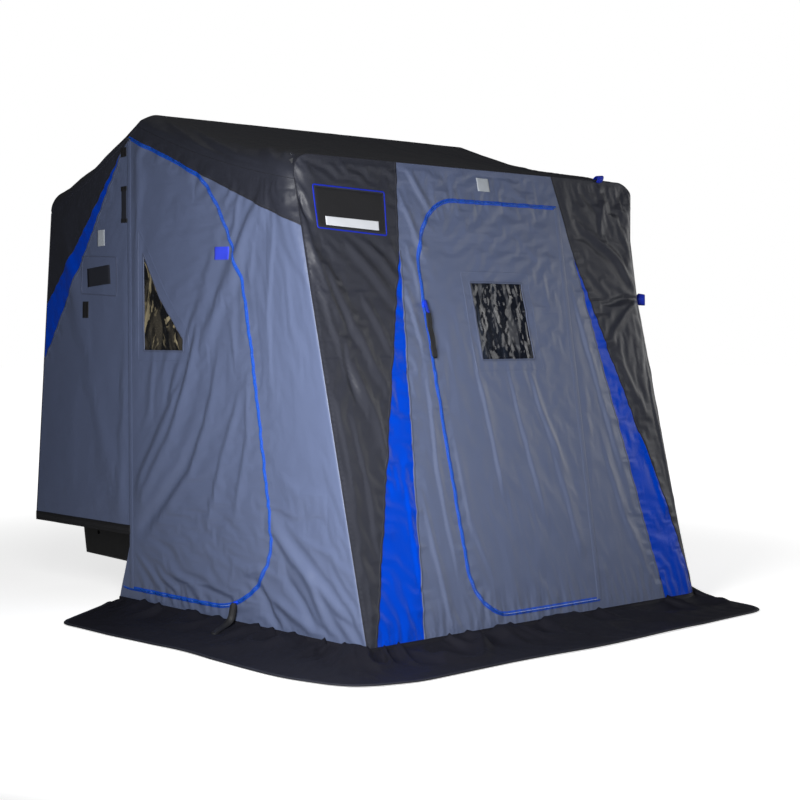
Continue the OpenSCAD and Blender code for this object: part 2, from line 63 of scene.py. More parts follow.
# %% [markdown]
# The hut has four flat walls that lean a little and a roof that falls both ways from its ridge.
# Their planes could be typed in, but two corner points of a packed panel give each plane without that copy.

# %% Planes of the walls
def node_points(node):
    me = frame["nodes"][node].data
    co = np.empty(len(me.vertices) * 3)
    me.vertices.foreach_get("co", co)
    return co.reshape(-1, 3)

HALF = -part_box("left_sill")[0].x
RIDGE_Y, RIDGE_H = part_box("front_roof")[1].yz
SEAM_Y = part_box("left_end_panel")[0].y
front_pts, rear_pts = node_points("left_corner"), node_points("rear_wall")
front_foot, front_head = front_pts[front_pts[:, 1].argmin()], front_pts[front_pts[:, 2].argmax()]
rear_foot, rear_head = rear_pts[rear_pts[:, 1].argmax()], rear_pts[rear_pts[:, 2].argmax()]

def along_wall(z, foot, head):
    return foot[1] + (head[1] - foot[1]) * (z - foot[2]) / (head[2] - foot[2])

def front_y(z):
    return along_wall(z, front_foot, front_head)

def rear_y(z):
    return along_wall(z, rear_foot, rear_head)

FRONT_LEAN = math.atan2(front_head[1] - front_foot[1], front_head[2] - front_foot[2])
REAR_LEAN = math.atan2(rear_foot[1] - rear_head[1], rear_head[2] - rear_foot[2])
FRONT_OUT = np.array([0, -math.cos(FRONT_LEAN), math.sin(FRONT_LEAN)])
REAR_OUT = np.array([0, math.cos(REAR_LEAN), math.sin(REAR_LEAN)])
print("half width", HALF, "ridge", RIDGE_Y, RIDGE_H, "leans", np.degrees([FRONT_LEAN, REAR_LEAN]))

# %% [markdown]
# Each wall is a drawing board with two directions, u across or along and v up, both in metres.
# A cloth piece is drawn flat on its board, given folds there, and only then stood up in space.
# That keeps neighbouring pieces together, because they share the board and its folds.

# %% Drawing boards
def upright(wall_y):
    return lambda uv: np.stack([uv[:, 0], wall_y(uv[:, 1]), uv[:, 1]], 1)

def sideways(x):
    return lambda uv: np.stack([np.full(len(uv), x), uv[:, 0], uv[:, 1]], 1)

BOARDS = {
    "front": (upright(front_y), FRONT_OUT, (0, 2)),
    "rear": (upright(rear_y), REAR_OUT, (0, 2)),
    "left": (sideways(-HALF), np.array([-1.0, 0, 0]), (1, 2)),
    "right": (sideways(HALF), np.array([1.0, 0, 0]), (1, 2)),
}

def out_of(board):
    return np.array([0, 0, 1.0]) if board == "roof" else BOARDS[board][1]
print("boards", list(BOARDS))

# %% [markdown]
# The cut of every cloth piece is the outer face of its solid.
# Its rim could be drawn by hand, but chaining the face's free edges gives the line that the neighbours have.

# %% Cuts from the solids
def ring_area(r):
    x, y = r[:, 0], r[:, 1]
    return 0.5 * float((x * np.roll(y, -1) - y * np.roll(x, -1)).sum())

def cuts(node, board):
    """Outlines of a solid's outer face on a board, the largest first."""
    place, out, axes = BOARDS[board]
    co = node_points(node)
    flat = co[:, list(axes)]
    off = np.abs(((co - place(flat)) * out).sum(1))
    keys = [tuple(np.round(p * 2e4).astype(int)) for p in flat]
    where, uses = {}, {}
    for p in frame["nodes"][node].data.polygons:
        if all(off[i] < 2e-4 for i in p.vertices):
            ring = [keys[i] for i in p.vertices]
            where.update((keys[i], flat[i]) for i in p.vertices)
            for a, b in zip(ring, ring[1:] + ring[:1]):
                if a != b:
                    uses[frozenset((a, b))] = uses.get(frozenset((a, b)), 0) + 1
    ways = {}
    for a, b in (tuple(e) for e, n in uses.items() if n == 1):
        ways.setdefault(a, []).append(b)
        ways.setdefault(b, []).append(a)
    loops, left = [], set(ways)
    while left:
        at, ring = min(left), []
        while at is not None:
            ring.append(at)
            left.discard(at)
            at = next((n for n in ways[at] if n in left), None)
        if len(ring) > 2:
            loops.append(np.array([where[k] for k in ring]))
    return sorted(loops, key=lambda r: -abs(ring_area(r)))
print("front door cut", [len(r) for r in cuts("front_door", "front")])

# %% [markdown]
# Cloth needs points all over, not only round its rim, before it can fold.
# Rows of staggered points joined into even triangles bend the same way in every direction.
# A square grid would show its rows.

# %% Cloth blanks
def segments(line, closed):
    return zip(line, np.roll(line, -1, axis=0) if closed else line[1:])

def walk(ring, step, closed=True):
    """Points at an even step along a line, with its corners kept."""
    out = []
    for a, b in segments(ring, closed):
        n = max(1, int(round(np.linalg.norm(b - a) / step)))
        out += [a + (b - a) * k / n for k in range(n)]
    return np.array(out if closed else out + [ring[-1]])

def inside(points, ring):
    """Which points lie inside a ring."""
    hit = np.zeros(len(points), bool)
    for a, b in segments(ring, True):
        cross = (a[1] > points[:, 1]) != (b[1] > points[:, 1])
        x = a[0] + (points[:, 1] - a[1]) * (b[0] - a[0]) / (b[1] - a[1] + 1e-12)
        hit ^= cross & (points[:, 0] < x)
    return hit

def far_from(points, line, closed=True):
    """Distance of each point from a line of segments."""
    best = np.full(len(points), 9.0)
    for a, b in segments(line, closed):
        d = b - a
        t = np.clip(((points - a) @ d) / max(float(d @ d), 1e-12), 0, 1)
        best = np.minimum(best, np.linalg.norm(points - a - t[:, None] * d, axis=1))
    return best

def filled(points, outers, holes):
    ok = np.any([inside(points, r) for r in outers], axis=0)
    for r in holes:
        ok &= ~inside(points, r)
    return ok

def blank(outers, holes, step):
    """Staggered points and triangles that fill the outer loops, less the holes."""
    outers, holes = [walk(r, step) for r in outers], [walk(r, step) for r in holes]
    low, high = np.vstack(outers).min(0), np.vstack(outers).max(0)
    rows = np.arange(low[1], high[1], step * 0.866)
    grid = np.array([(x + (i % 2) * step / 2, z) for i, z in enumerate(rows)
                     for x in np.arange(low[0], high[0], step)])
    grid = grid[filled(grid, outers, holes)]
    points, edges = [], []
    for r in outers + holes:
        grid = grid[far_from(grid, r) > step * 0.55]
        n = len(points)
        points += list(r)
        edges += [(n + i, n + (i + 1) % len(r)) for i in range(len(r))]
    made = geometry.delaunay_2d_cdt([Vector(p) for p in points + list(grid)], edges, [], 0, 1e-5)
    uv, tri = np.array([tuple(p) for p in made[0]]), np.array(made[2])
    tri = tri[filled(uv[tri].mean(1), outers, holes)]
    used, tri = np.unique(tri, return_inverse=True)
    return uv[used], tri.reshape(-1, 3)
SQUARE = np.array([(0, 0), (1, 0), (1, 1), (0, 1.0)])
print("a square metre of cloth has", len(blank([SQUARE], [], 0.05)[0]), "points at 5 cm")

# %% [markdown]
# Real cloth is never flat: it hangs between its seams, folds where it is pulled and crumples where slack.
# The folds that this hut shows are written down as strokes, and the slack between them is smooth noise.

# %% Smooth noise and strokes
def ease(a, b, x):
    t = np.clip((x - a) / (b - a), 0, 1)
    return t * t * (3 - 2 * t)

def noise(uv, size, seed, turn=0.0, stretch=1.0):
    """Smooth noise from -1 to 1 with hills of a size, longer along a turned direction."""
    c, s = math.cos(turn), math.sin(turn)
    p = np.stack([(uv[:, 0] * c + uv[:, 1] * s) / stretch, -uv[:, 0] * s + uv[:, 1] * c], 1) / size
    grid = np.random.default_rng(seed).uniform(-1, 1, (97, 97))
    i = np.floor(p).astype(int)
    f = p - i
    f = f * f * f * (f * (f * 6 - 15) + 10)
    a, b = i.T % 97
    a1, b1 = (a + 1) % 97, (b + 1) % 97
    low = grid[a, b] * (1 - f[:, 0]) + grid[a1, b] * f[:, 0]
    high = grid[a, b1] * (1 - f[:, 0]) + grid[a1, b1] * f[:, 0]
    return low * (1 - f[:, 1]) + high * f[:, 1]

def ridges(uv, size, seed, turn, stretch):
    """The same noise folded over, so that its zero lines become sharp crests."""
    return 1 - 2 * np.abs(noise(uv, size, seed, turn, stretch))

def stroke(uv, line, width, height):
    """A fold along a line: steep on one side, soft on the other, run out at both ends."""
    lengths = np.linalg.norm(np.diff(line, axis=0), axis=1)
    total, gone = lengths.sum(), 0.0
    best, lift = np.full(len(uv), 9.0), np.zeros(len(uv))
    for a, b, l in zip(line, line[1:], lengths):
        d = (b - a) / l
        t = np.clip((uv - a) @ d, 0, l)
        gap = uv - a - t[:, None] * d
        dist = np.linalg.norm(gap, axis=1)
        side = np.sign(gap[:, 0] * d[1] - gap[:, 1] * d[0])
        s = (gone + t) / total
        taper = np.minimum(1, 4 * np.minimum(s + 0.04, 1.04 - s))
        w = width * np.where(side > 0, 0.6, 1.25)
        lift = np.where(dist < best, height * taper * np.exp(-(dist / w) ** 2), lift)
        best = np.minimum(best, dist)
        gone += l
    return lift

def drawn_folds(uv, table):
    """All folds of a table. A row has a width and height in mm, then places across and up in cm."""
    lift = np.zeros(len(uv))
    for row in table.strip().splitlines():
        width, height, *places = map(float, row.split())
        lift += stroke(uv, np.array(places).reshape(-1, 2) / 100, width / 1000, height / 1000)
    return lift
print("noise range", noise(np.random.default_rng(1).uniform(0, 9, (500, 2)), 0.3, 2).min())

# %% [markdown]
# The roof is a board too: u runs across it over both pole elbows and v runs back from the ridge.
# Its fall, its slack and its elbows follow the solid, so the cloth lies right over the bows.

# %% Roof board
ELBOW = front_head[2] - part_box("front_roof")[0].z
ROOF_RUN = (RIDGE_Y - front_head[1], rear_head[1] - RIDGE_Y)
ROOF_SLACK = 0.024
ROOF_FLAT = HALF - ELBOW
ROOF_HALF = ROOF_FLAT + ELBOW * math.pi / 2

def roof_share(v):
    return np.where(v < 0, -v / ROOF_RUN[0], v / ROOF_RUN[1])

def roof_z(v):
    t = roof_share(v)
    end = np.where(v < 0, front_head[2], rear_head[2])
    return RIDGE_H + (end - RIDGE_H) * t - 4 * ROOF_SLACK * t * (1 - t)

def roof_frame(uv):
    """Points of the roof, and which way is out, for places across and back."""
    s, v = np.abs(uv[:, 0]), uv[:, 1]
    turn = np.clip((s - ROOF_FLAT) / ELBOW, 0, None)
    x = np.minimum(s, ROOF_FLAT) + ELBOW * np.sin(turn)
    z = roof_z(v) - ELBOW * (1 - np.cos(turn))
    shift = np.where(v < 0, front_y(z) - front_y(front_head[2]), rear_y(z) - rear_y(rear_head[2]))
    out = np.stack([np.sign(uv[:, 0]) * np.sin(turn), np.zeros(len(s)), np.cos(turn)], 1)
    return np.stack([np.sign(uv[:, 0]) * x, RIDGE_Y + v + shift * roof_share(v), z], 1), out

def eave_z(y):
    return roof_z(y - RIDGE_Y) - ELBOW
print("elbow", round(ELBOW, 4), "roof runs", ROOF_RUN)

# %% [markdown]
# The poles press the cloth out where they run behind it, so no fold may sink in there.
# The two ends of each bow's box give the line of its leg on the side walls.

# %% Lines of the poles
def leg(bow, front_first):
    a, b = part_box(bow)
    return np.array([(b.y, a.z), (a.y, b.z)] if front_first else [(a.y, a.z), (b.y, b.z)])

LEGS = [leg("front_bow", True), leg("centre_bow", True), leg("rear_bow", False)]

def over_poles(uv, lift):
    for line in LEGS:
        d = far_from(uv, line, closed=False)
        lift = np.maximum(lift, 0.0015 - 0.22 * np.maximum(d - 0.02, 0))
    return lift
print("pole legs", len(LEGS))

# %% [markdown]
# These are the folds of the walls and the roof, with the slow waves that the cloth starts from.
# The side door's cloth fans out from the seam over the sled. The front wall is stretched, so it is smoother.
# Its black corners are slack, and the roof has soft hollows with gathers toward the front corners.

# %% Folds as drawn
SIDE_FOLDS = """
34 13  10 33 -2 48 -22 72 -34 95 -42 120
30 -12  5 29 -12 44 -29 60 -36 70
30 8  -8 34 -34 58 -45 78 -52 100
22 6  -43 33 -55 65 -66 90
20 6  -62 42 -70 73 -70 95
32 6  -30 104 -45 129 -52 146
20 6  -29 102 -18 78
20 4  -10 103 -6 75
20 5  -63 98 -60 119 -53 131
20 -5  4 185 -17 177 -33 169
22 4  5 178 -26 169
14 6  -66 161 -63 149 -58 141
16 7  -79 156 -74 142 -71 125
12 -5  -74 158 -68 144 -65 134
12 5  -62 163 -56 155
30 4  -86 148 -82 120 -84 90
20 -6  -84 47 -96 44 -118 47
28 11  -84 42 -96 33 -108 23 -116 8
20 -10  -77 19 -84 9 -90 4
20 9  -84 16 -100 10 -115 5
18 6  -95 40 -110 36 -120 35
22 8  -102 30 -114 21 -126 14
16 -7  -92 24 -102 16 -110 6
24 5  -86 62 -100 54 -116 55
10 4  7 26 -5 18 -15 11
12 6  -14 16 -27 11
13 6  -22 18 -37 15
14 -5  -40 15 -61 12
12 5  -69 22 -78 27
16 -9  -83 170 -88 162 -93 154
20 6  -78 170 -83 162 -86 155
40 4  20 150 28 110 30 70
50 4  45 100 50 70 52 42
30 5  12 62 24 46 42 38
"""
FRONT_FOLDS = """
20 7  -92 146 -86 127 -80 110
26 10  -91 136 -83 106 -74 80
24 9  -88 140 -76 113 -64 88
18 -6  -87 122 -82 102 -80 86
22 6  -90 92 -88 70 -88 47
20 5  -83 82 -81 56 -81 33
16 6  -70 124 -64 113 -60 103
18 6  -74 144 -63 132 -54 120
14 5  -66 145 -58 138 -50 127
20 4  -90 64 -89 40 -92 21
12 4  -53 145 -50 138 -48 133
20 4  -89 36 -88 20 -90 8
18 5  -79 100 -72 80 -70 62
12 4  -88 172 -84 166 -82 158
14 -10  -92 160 -90 154 -86 148
10 3  -70 173 -66 166
14 5  -38 172 -33 163 -28 155
14 5  -43 160 -39 148 -36 137
14 5  -45 147 -42 134 -41 123
14 5  -48 128 -46 116 -44 104
22 4  -18 98 -16 74 -15 49
22 4  -1 98 1 74 6 40
18 4  10 98 13 80 20 60
24 4  -36 79 -35 43 -26 17
30 5  37 124 38 84 30 40
30 5  43 130 50 84 58 36
28 4  15 73 20 45 22 20
24 5  45 70 50 40 60 13
18 4  -44 94 -47 61 -45 22
15 4  -63 62 -64 40 -64 17
15 4  -56 50 -54 25 -52 5
20 3  9 157 20 146 29 136
16 6  74 168 70 160 66 150
20 5  60 150 70 146 80 138
14 7  86 125 75 120 62 110
14 -6  86 125 76 126 62 122
14 6  86 126 80 134 77 142
22 5  64 100 70 88 77 75
22 5  70 71 74 50 77 34
25 5  82 90 83 60 86 30
"""
ROOF_FOLDS = """
30 7  -96 -88 -80 -70 -70 -45
26 6  -90 -90 -62 -66 -40 -50
22 7  -100 -80 -98 -55 -90 -30
20 6  -98 -50 -90 -30 -85 -8
20 5  -92 -62 -86 -36 -78 -12
30 4  -50 -90 -30 -70 0 -60
30 6  92 -88 78 -66 70 -40
30 6  -95 55 -85 35 -80 10
20 6  -98 40 -93 20 -90 5
30 6  95 55 85 35 80 10
"""

def side_start(uv):
    p = uv - np.array([RIDGE_Y, 0])
    return drawn_folds(p, SIDE_FOLDS) * np.where(p[:, 0] > SEAM_Y - RIDGE_Y, 0.55, 1.0)

def front_start(uv):
    return drawn_folds(uv, FRONT_FOLDS)

def rear_start(uv):
    return 0.01 * noise(uv, 0.6, 60)

def roof_start(uv):
    return 0.004 * noise(uv, 0.45, 70) + drawn_folds(uv, ROOF_FOLDS)
print("drawn folds", [len(t.strip().splitlines()) for t in (SIDE_FOLDS, FRONT_FOLDS, ROOF_FOLDS)])

# %% [markdown]
# Real folds come from cloth that is longer than the frame that holds it, so the walls are simulated.
# Each wall is a woven grid pinned at its seams. Where the wall is slack or pulled, its threads are made
# a little longer across the folds. The grid then buckles by itself around the drawn folds.
# Blender's own cloth could do this too, but it can't lengthen the threads in one direction only.

# %% Woven grid that settles
ROUNDS = 260
MOMENTUM, STIFF, DEEPEST = 0.9, 0.004, -0.02
ALL, EARLY, LATE = slice(None), slice(None, -1), slice(1, None)

def settle(rest, start, pinned, low):
    """Heights of the grid after its threads have taken their own lengths."""
    x, old = start.copy(), start.copy()
    free = (~pinned).astype(float)[..., None]
    rows = []
    for k in (0, 1):
        a, b = slice(k, -1, 2), slice(k + 1, None, 2)
        rows += [((a, ALL), (b, ALL), rest[0][k::2]), ((ALL, a), (ALL, b), rest[1][:, k::2]),
                 ((a, EARLY), (b, LATE), rest[2][k::2]), ((a, LATE), (b, EARLY), rest[3][k::2])]
    for _ in range(ROUNDS):
        x, old = x + (x - old) * MOMENTUM * free, x
        for sa, sb, length in rows:
            a, b, wa, wb = x[sa], x[sb], free[sa], free[sb]
            d = b - a
            gap = np.sqrt((d * d).sum(-1))
            move = d * ((gap - length) / np.maximum(gap, 1e-9))[..., None] / np.maximum(wa + wb, 1)
            x[sa], x[sb] = a + move * wa, b - move * wb
        lift = x[..., 2]
        for z, f in ((lift, free[..., 0]), (lift.T, free[..., 0].T)):
            z[1:-1] += ((z[2:] + z[:-2]) / 2 - z[1:-1]) * STIFF * f[1:-1]
        np.maximum(lift, low, out=lift)
    return x[..., 2]
print("rounds of settling", ROUNDS)

# %% [markdown]
# A wall's relief is read off its settled grid. Nearest points would show the grid as steps.
# A smooth spline over three by three points bends evenly, so cloth can be cut finer than the grid.

# %% Relief from a settled grid
def settled(name, box, step, start, longer, wall, seed, poles=False):
    """A relief for a board, from a settled grid over a box of it."""
    us, vs = (np.arange(box[k], box[k + 2] + step, step) for k in (0, 1))
    us, vs = us[:len(us) // 2 * 2], vs[:len(vs) // 2 * 2]
    across_up = np.meshgrid(us, vs, indexing="ij")
    flat = np.stack([g.ravel() for g in across_up], 1)
    shape = (len(us), len(vs))
    drawn = start(flat).reshape(shape)
    extra = np.zeros(shape + (2, 2))
    for amount, turn in longer(flat):
        way = np.stack([np.cos(turn), np.sin(turn)], -1) * np.ones((len(flat), 1))
        extra += (amount[:, None, None] * way[:, :, None] * way[:, None, :]).reshape(shape + (2, 2))
    rest = []
    for d in ((1, 0), (0, 1), (1, 1), (1, -1)):
        here = (slice(0, shape[0] - d[0]), slice(max(0, -d[1]), shape[1] - max(0, d[1])))
        there = (slice(d[0], None), slice(max(0, d[1]), shape[1] - max(0, -d[1])))
        e = np.array(d) / math.hypot(*d)
        grown = 1 + np.einsum("i,abij,j->ab", e, (extra[here] + extra[there]) / 2, e)
        rest.append(np.hypot(step * math.hypot(*d), (drawn[there] - drawn[here]) * 1.1) * grown)
    pinned = ~wall(flat).reshape(shape)
    loose = drawn + (0.002 * noise(flat, 0.06, seed) + 0.0012 * noise(flat, 0.03, seed + 1)).reshape(shape)
    low = np.full(len(flat), DEEPEST)
    low = (over_poles(flat, low) if poles else low).reshape(shape)
    lift = settle(rest, np.dstack([*across_up, loose * ~pinned]), pinned, low)
    print(name, "folds from", round(float(lift.min()), 4), "to", round(float(lift.max()), 4))

    def relief(uv):
        p = (uv - (us[0], vs[0])) / step
        i = np.clip(np.round(p).astype(int), 1, np.array(shape) - 2)
        f = np.clip(p - i, -0.5, 0.5)
        share = [0.5 * (0.5 - f) ** 2, 0.75 - f ** 2, 0.5 * (0.5 + f) ** 2]
        return sum(share[a][:, 0] * share[b][:, 1] * lift[i[:, 0] + a - 1, i[:, 1] + b - 1]
                   for a in range(3) for b in range(3))
    return relief
print("a relief is read from", 3 * 3, "points of its grid")

# %% [markdown]
# These fields say where the threads are longer, and across which way.
# A fan spreads from a point that pulls, like the sled's corner or a pole's elbow.
# A pucker runs across a sewn seam. The grid of each wall is pinned where the wall ends.

# %% Slack of each wall
def fan(uv, centre, amount, near, far):
    d = uv - np.array(centre)
    r = np.linalg.norm(d, axis=1)
    fading = ease(near * 0.2, near, r) * (1 - ease(near, far, r))
    return amount * fading, np.arctan2(d[:, 1], d[:, 0]) + math.pi / 2

def pucker(uv, rings, amount=0.012, reach=0.03):
    gap = lambda p: np.min([far_from(p, r) for r in rings], axis=0)
    e = 0.002
    across = np.arctan2(gap(uv + (0, e)) - gap(uv - (0, e)), gap(uv + (e, 0)) - gap(uv - (e, 0)))
    return amount * np.exp(-(gap(uv) / reach) ** 2), across + math.pi / 2

def slack(uv, amount):
    return [(np.full(len(uv), amount), 0.0), (np.full(len(uv), amount * 0.7), math.pi / 2)]
print("a slack cloth is longer by", [float(a[0]) for a, _ in slack(np.zeros((1, 2)), 0.004)])

# %% [markdown]
# Each wall has its own pulls. The side door is drawn to its seam over the sled, the shoulders to the elbow.
# The front corners hang from the bow, and its middle is only a little slack.

# %% Longer threads of each wall
def first_cuts(board, *nodes):
    return [cuts(n, board)[0] for n in nodes]

def side_longer(uv):
    p = uv - np.array([RIDGE_Y, 0])
    pull, turn = fan(p, (0.1, 0.33), 0.018, 0.3, 1.25)
    rings = first_cuts("left", "left_shoulder", "left_rear_shoulder", "left_stripe", "left_door")
    sewn, across = pucker(uv, rings)
    corner = 0.022 * ease(0.6, 0.3, p[:, 1]) * ease(-0.68, -0.88, p[:, 0])
    return [(pull * ease(0.12, 0.0, p[:, 0]), turn), fan(p, (-0.86, 1.62), 0.016, 0.12, 0.9),
            fan(p, (-0.05, 1.86), 0.005, 0.1, 0.7), (corner, math.radians(128)),
            (sewn * ease(0.0, 0.07, np.abs(uv[:, 0] - SEAM_Y)), across)] + slack(uv, 0.0012)

def front_longer(uv):
    left, turn_l = fan(uv, (-0.9, 1.66), 0.024, 0.15, 1.5)
    right, turn_r = fan(uv, (0.9, 1.28), 0.024, 0.1, 0.85)
    foot = 0.016 * ease(0.22, 0.06, uv[:, 1])
    return [(left * ease(-0.38, -0.6, uv[:, 0]), turn_l), (right * ease(0.44, 0.62, uv[:, 0]), turn_r),
            fan(uv, (-0.36, 1.3), 0.006, 0.4, 1.5), fan(uv, (0.44, 1.5), 0.006, 0.4, 1.4), (foot, 0.0),
            (0.004 * ease(0.45, 0.7, np.abs(uv[:, 0])), 0.9),
            pucker(uv, first_cuts("front", "left_gore", "right_gore", "front_door"))] + slack(uv, 0.0007)

def roof_longer(uv):
    return [fan(uv, (x, -0.9), 0.016, 0.15, 0.9) for x in (-0.98, 0.98)] + slack(uv, 0.0035)

def rear_longer(uv):
    return [fan(uv, (x, 1.7), 0.012, 0.2, 1.3) for x in (-0.93, 0.93)] + slack(uv, 0.002)
print("longer threads", [f.__name__ for f in (side_longer, front_longer, roof_longer, rear_longer)])

# %% [markdown]
# The sewn rim of each wall is held by its seams and poles, so the grid is pinned there and free inside.
# With the four grids settled, every place on a wall has its height, and all later pieces share it.

# %% Walls that settle
def side_wall(uv):
    front = (uv[:, 0] - front_y(uv[:, 1])) * math.cos(FRONT_LEAN)
    rear = (rear_y(uv[:, 1]) - uv[:, 0]) * math.cos(REAR_LEAN)
    return (np.minimum(front, rear) > 0.015) & (eave_z(uv[:, 0]) - uv[:, 1] > 0.02) & (uv[:, 1] > 0.045)

def front_wall(uv):
    return (HALF - np.abs(uv[:, 0]) > 0.015) & (front_head[2] - uv[:, 1] > 0.015) & (uv[:, 1] > 0.045)

def roof_wall(uv):
    ends = np.minimum(uv[:, 1] + ROOF_RUN[0], ROOF_RUN[1] - uv[:, 1])
    return (ends > 0.02) & (ROOF_HALF - np.abs(uv[:, 0]) > 0.02) & (np.abs(uv[:, 1]) > 0.01)

def rear_wall(uv):
    ends = np.minimum(rear_head[2] - uv[:, 1], uv[:, 1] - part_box("rear_wall")[0].z)
    return (HALF - np.abs(uv[:, 0]) > 0.02) & (ends > 0.02)

WIDE = HALF + 0.03
rear_folds = settled("rear", (-WIDE, 0.2, WIDE, rear_head[2] + 0.03), 0.015,
                     rear_start, rear_longer, rear_wall, 60)
side_folds = settled("side", (front_foot[1] - 0.05, 0.0, rear_foot[1] + 0.05, RIDGE_H), 0.0105,
                     side_start, side_longer, side_wall, 50, poles=True)
front_folds = settled("front", (-WIDE, 0.0, WIDE, front_head[2] + 0.03), 0.0095,
                      front_start, front_longer, front_wall, 40)
roof_folds = settled("roof", (-ROOF_HALF, -ROOF_RUN[0], ROOF_HALF, ROOF_RUN[1]), 0.0125,
                     roof_start, roof_longer, roof_wall, 70)
print("walls settled", len([rear_folds, side_folds, front_folds, roof_folds]))

# %% [markdown]
# The tightened cloth doesn't make sharp corners: at the right front it cuts well inside the corner.
# One rounding that acts on points in space keeps every piece together there.
# A change to single pieces would part their seams.

# %% Rounded corners
ROUNDING = {1: ([0.0, 0.3, 1.25, 1.5, 1.7], [0.13, 0.15, 0.15, 0.11, 0.02]),
            -1: ([0.0, 0.5, 1.25, 1.44, 1.56, 1.7], [0.014, 0.016, 0.018, 0.055, 0.1, 0.09])}
PEAK_Y, PEAK_LIFT, PEAK_FRONT, PEAK_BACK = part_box("left_door")[1].y, 0.042, 0.98, 0.62

def corner_round(z, side):
    return np.interp(z, *ROUNDING[side])

def peak_lift(p):
    """How far the cloth rides up the small elbow of the centre bow, at places in space."""
    top = roof_z(p[:, 1] - RIDGE_Y)
    back = p[:, 1] - PEAK_Y
    near = np.clip(1 - np.where(back < 0, -back / PEAK_FRONT, back / PEAK_BACK), 0, 1)
    high = ease(top - ELBOW - 0.7, top - ELBOW - 0.05, p[:, 2]) * (1 - ease(top - ELBOW, top, p[:, 2]))
    return PEAK_LIFT * near * high

def warp(p):
    p = p.copy()
    p[:, 2] += peak_lift(p)
    for side in (-1, 1):
        r = corner_round(p[:, 2], side)
        a = p[:, 1] - front_y(p[:, 2])
        b = HALF - side * p[:, 0]
        near = (a < r) & (b < r) & (p[:, 2] < front_head[2] + 0.004)
        va, vb = a - r, b - r
        k = np.where(near, np.maximum(-va, -vb) / np.maximum(np.hypot(va, vb), 1e-9), 1)
        p[:, 1] = np.where(near, p[:, 1] - a + r + va * k, p[:, 1])
        p[:, 0] = np.where(near, side * (HALF - r - vb * k), p[:, 0])
    return p
print("corner radii at knee height", [round(float(corner_round(0.5, s)), 3) for s in (-1, 1)])

# %% [markdown]
# Two places can't fold freely: the badge is a stiff patch, and a door's cloth bends about one straight line.
# The folds die out toward both, which is simpler than pinning the grid there and gives a soft edge.

# %% Stiff places
BADGE = np.array([(-0.846, 1.634), (-0.509, 1.625), (-0.531, 1.463), (-0.853, 1.479)])

def under_badge(uv):
    """The badge is a stiff patch, so the folds die out under it."""
    gap = np.where(inside(uv, BADGE), 0, far_from(uv, BADGE))
    return 1 - 0.92 * ease(0.05, 0.0, gap)

def joint_line(joint):
    """A point on a door's fold and the direction of the fold."""
    row = next(j for j in frame["record"]["behaviour"]["joints"] if j["name"] == joint)
    return np.array(row["pos_m"]), np.array(row["axis"]) / np.linalg.norm(row["axis"])

def at_hinge(uv, joint, board, reach):
    """Cloth can only fold about a straight line, so folds die out toward it."""
    a, d = joint_line(joint)
    line = np.array([a - d * 0.1, a + d * (1.9 if board == "left" else 1.6)])[:, list(BOARDS[board][2])]
    return ease(0.006, reach, far_from(uv, line, closed=False))

def front_relief(uv):
    return front_folds(uv) * under_badge(uv) * at_hinge(uv, "front_door_fold", "front", 0.07)

def side_relief(uv):
    return side_folds(uv) * at_hinge(uv, "left_door_fold", "left", 0.09)

RELIEF = {"front": front_relief, "rear": rear_folds, "roof": lambda uv: roof_folds(uv) + 0.001,
          "left": side_relief, "right": side_relief}
print("reliefs of", list(RELIEF))

# %% [markdown]
# Every later piece on the walls asks this one surface for its points: a panel, a seam or a label.
# So a piece that lies on another stays on it, whatever the folds below do.

# %% Folded surface
def surface(board, uv, lift=0.0):
    """Points of the folded cloth over places on a board, raised by a lift."""
    uv = np.asarray(uv, float).reshape(-1, 2)
    place, out = roof_frame(uv) if board == "roof" else (BOARDS[board][0](uv), BOARDS[board][1])
    return warp(place + out * (RELIEF[board](uv) + lift)[:, None])

def facing(board, uv):
    """Outward normals of the folded cloth, from small steps on the board."""
    e = 0.0015
    du = surface(board, uv + (e, 0)) - surface(board, uv - (e, 0))
    dv = surface(board, uv + (0, e)) - surface(board, uv - (0, e))
    n = np.cross(du, dv)
    n /= np.linalg.norm(n, axis=1)[:, None] + 1e-12
    return n * np.sign((n * out_of(board)).sum() + 1e-9)
print("ridge of the folded roof", np.round(surface("roof", [(0, 0)])[0], 3))

# %% [markdown]
# Effects that several finishes share are node groups, built once and placed with their own values.
# These helpers put a value on a socket or link another socket into it, so each effect is one short chain.

# %% Node helpers
def fill(tree, socket, value):
    if isinstance(value, bpy.types.NodeSocket):
        tree.links.new(value, socket)
    else:
        socket.default_value = value

def wire(tree, node, **values):
    """Fills the sockets that are named with capitals, and sets the rest as properties."""
    for key, value in values.items():
        if key[0].isupper():
            fill(tree, node.inputs[key.replace("_", " ")], value)
        else:
            setattr(node, key, value)
    return node

def add_node(tree, kind, **values):
    return wire(tree, tree.nodes.new("ShaderNode" + kind), **values)

def placed(tree, group, **values):
    return add_node(tree, "Group", node_tree=group, **values)

def maths(tree, what, a, b=None, c=None, clamp=False):
    node = add_node(tree, "Math", operation=what, use_clamp=clamp)
    for socket, x in zip(node.inputs, (a, b, c)):
        if x is not None:
            fill(tree, socket, x)
    return node.outputs[0]

def new_group(name, outputs, **inputs):
    """A group that takes a vector and some numbers: its tree, its inputs and its output node."""
    tree = bpy.data.node_groups.new(name, "ShaderNodeTree")
    tree.interface.new_socket("Vector", in_out="INPUT", socket_type="NodeSocketVector")
    for key, value in inputs.items():
        label = key.replace("_", " ")
        tree.interface.new_socket(label, in_out="INPUT", socket_type="NodeSocketFloat").default_value = value
    for label in outputs:
        tree.interface.new_socket(label, in_out="OUTPUT", socket_type="NodeSocketFloat")
    return tree, tree.nodes.new("NodeGroupInput").outputs, tree.nodes.new("NodeGroupOutput")

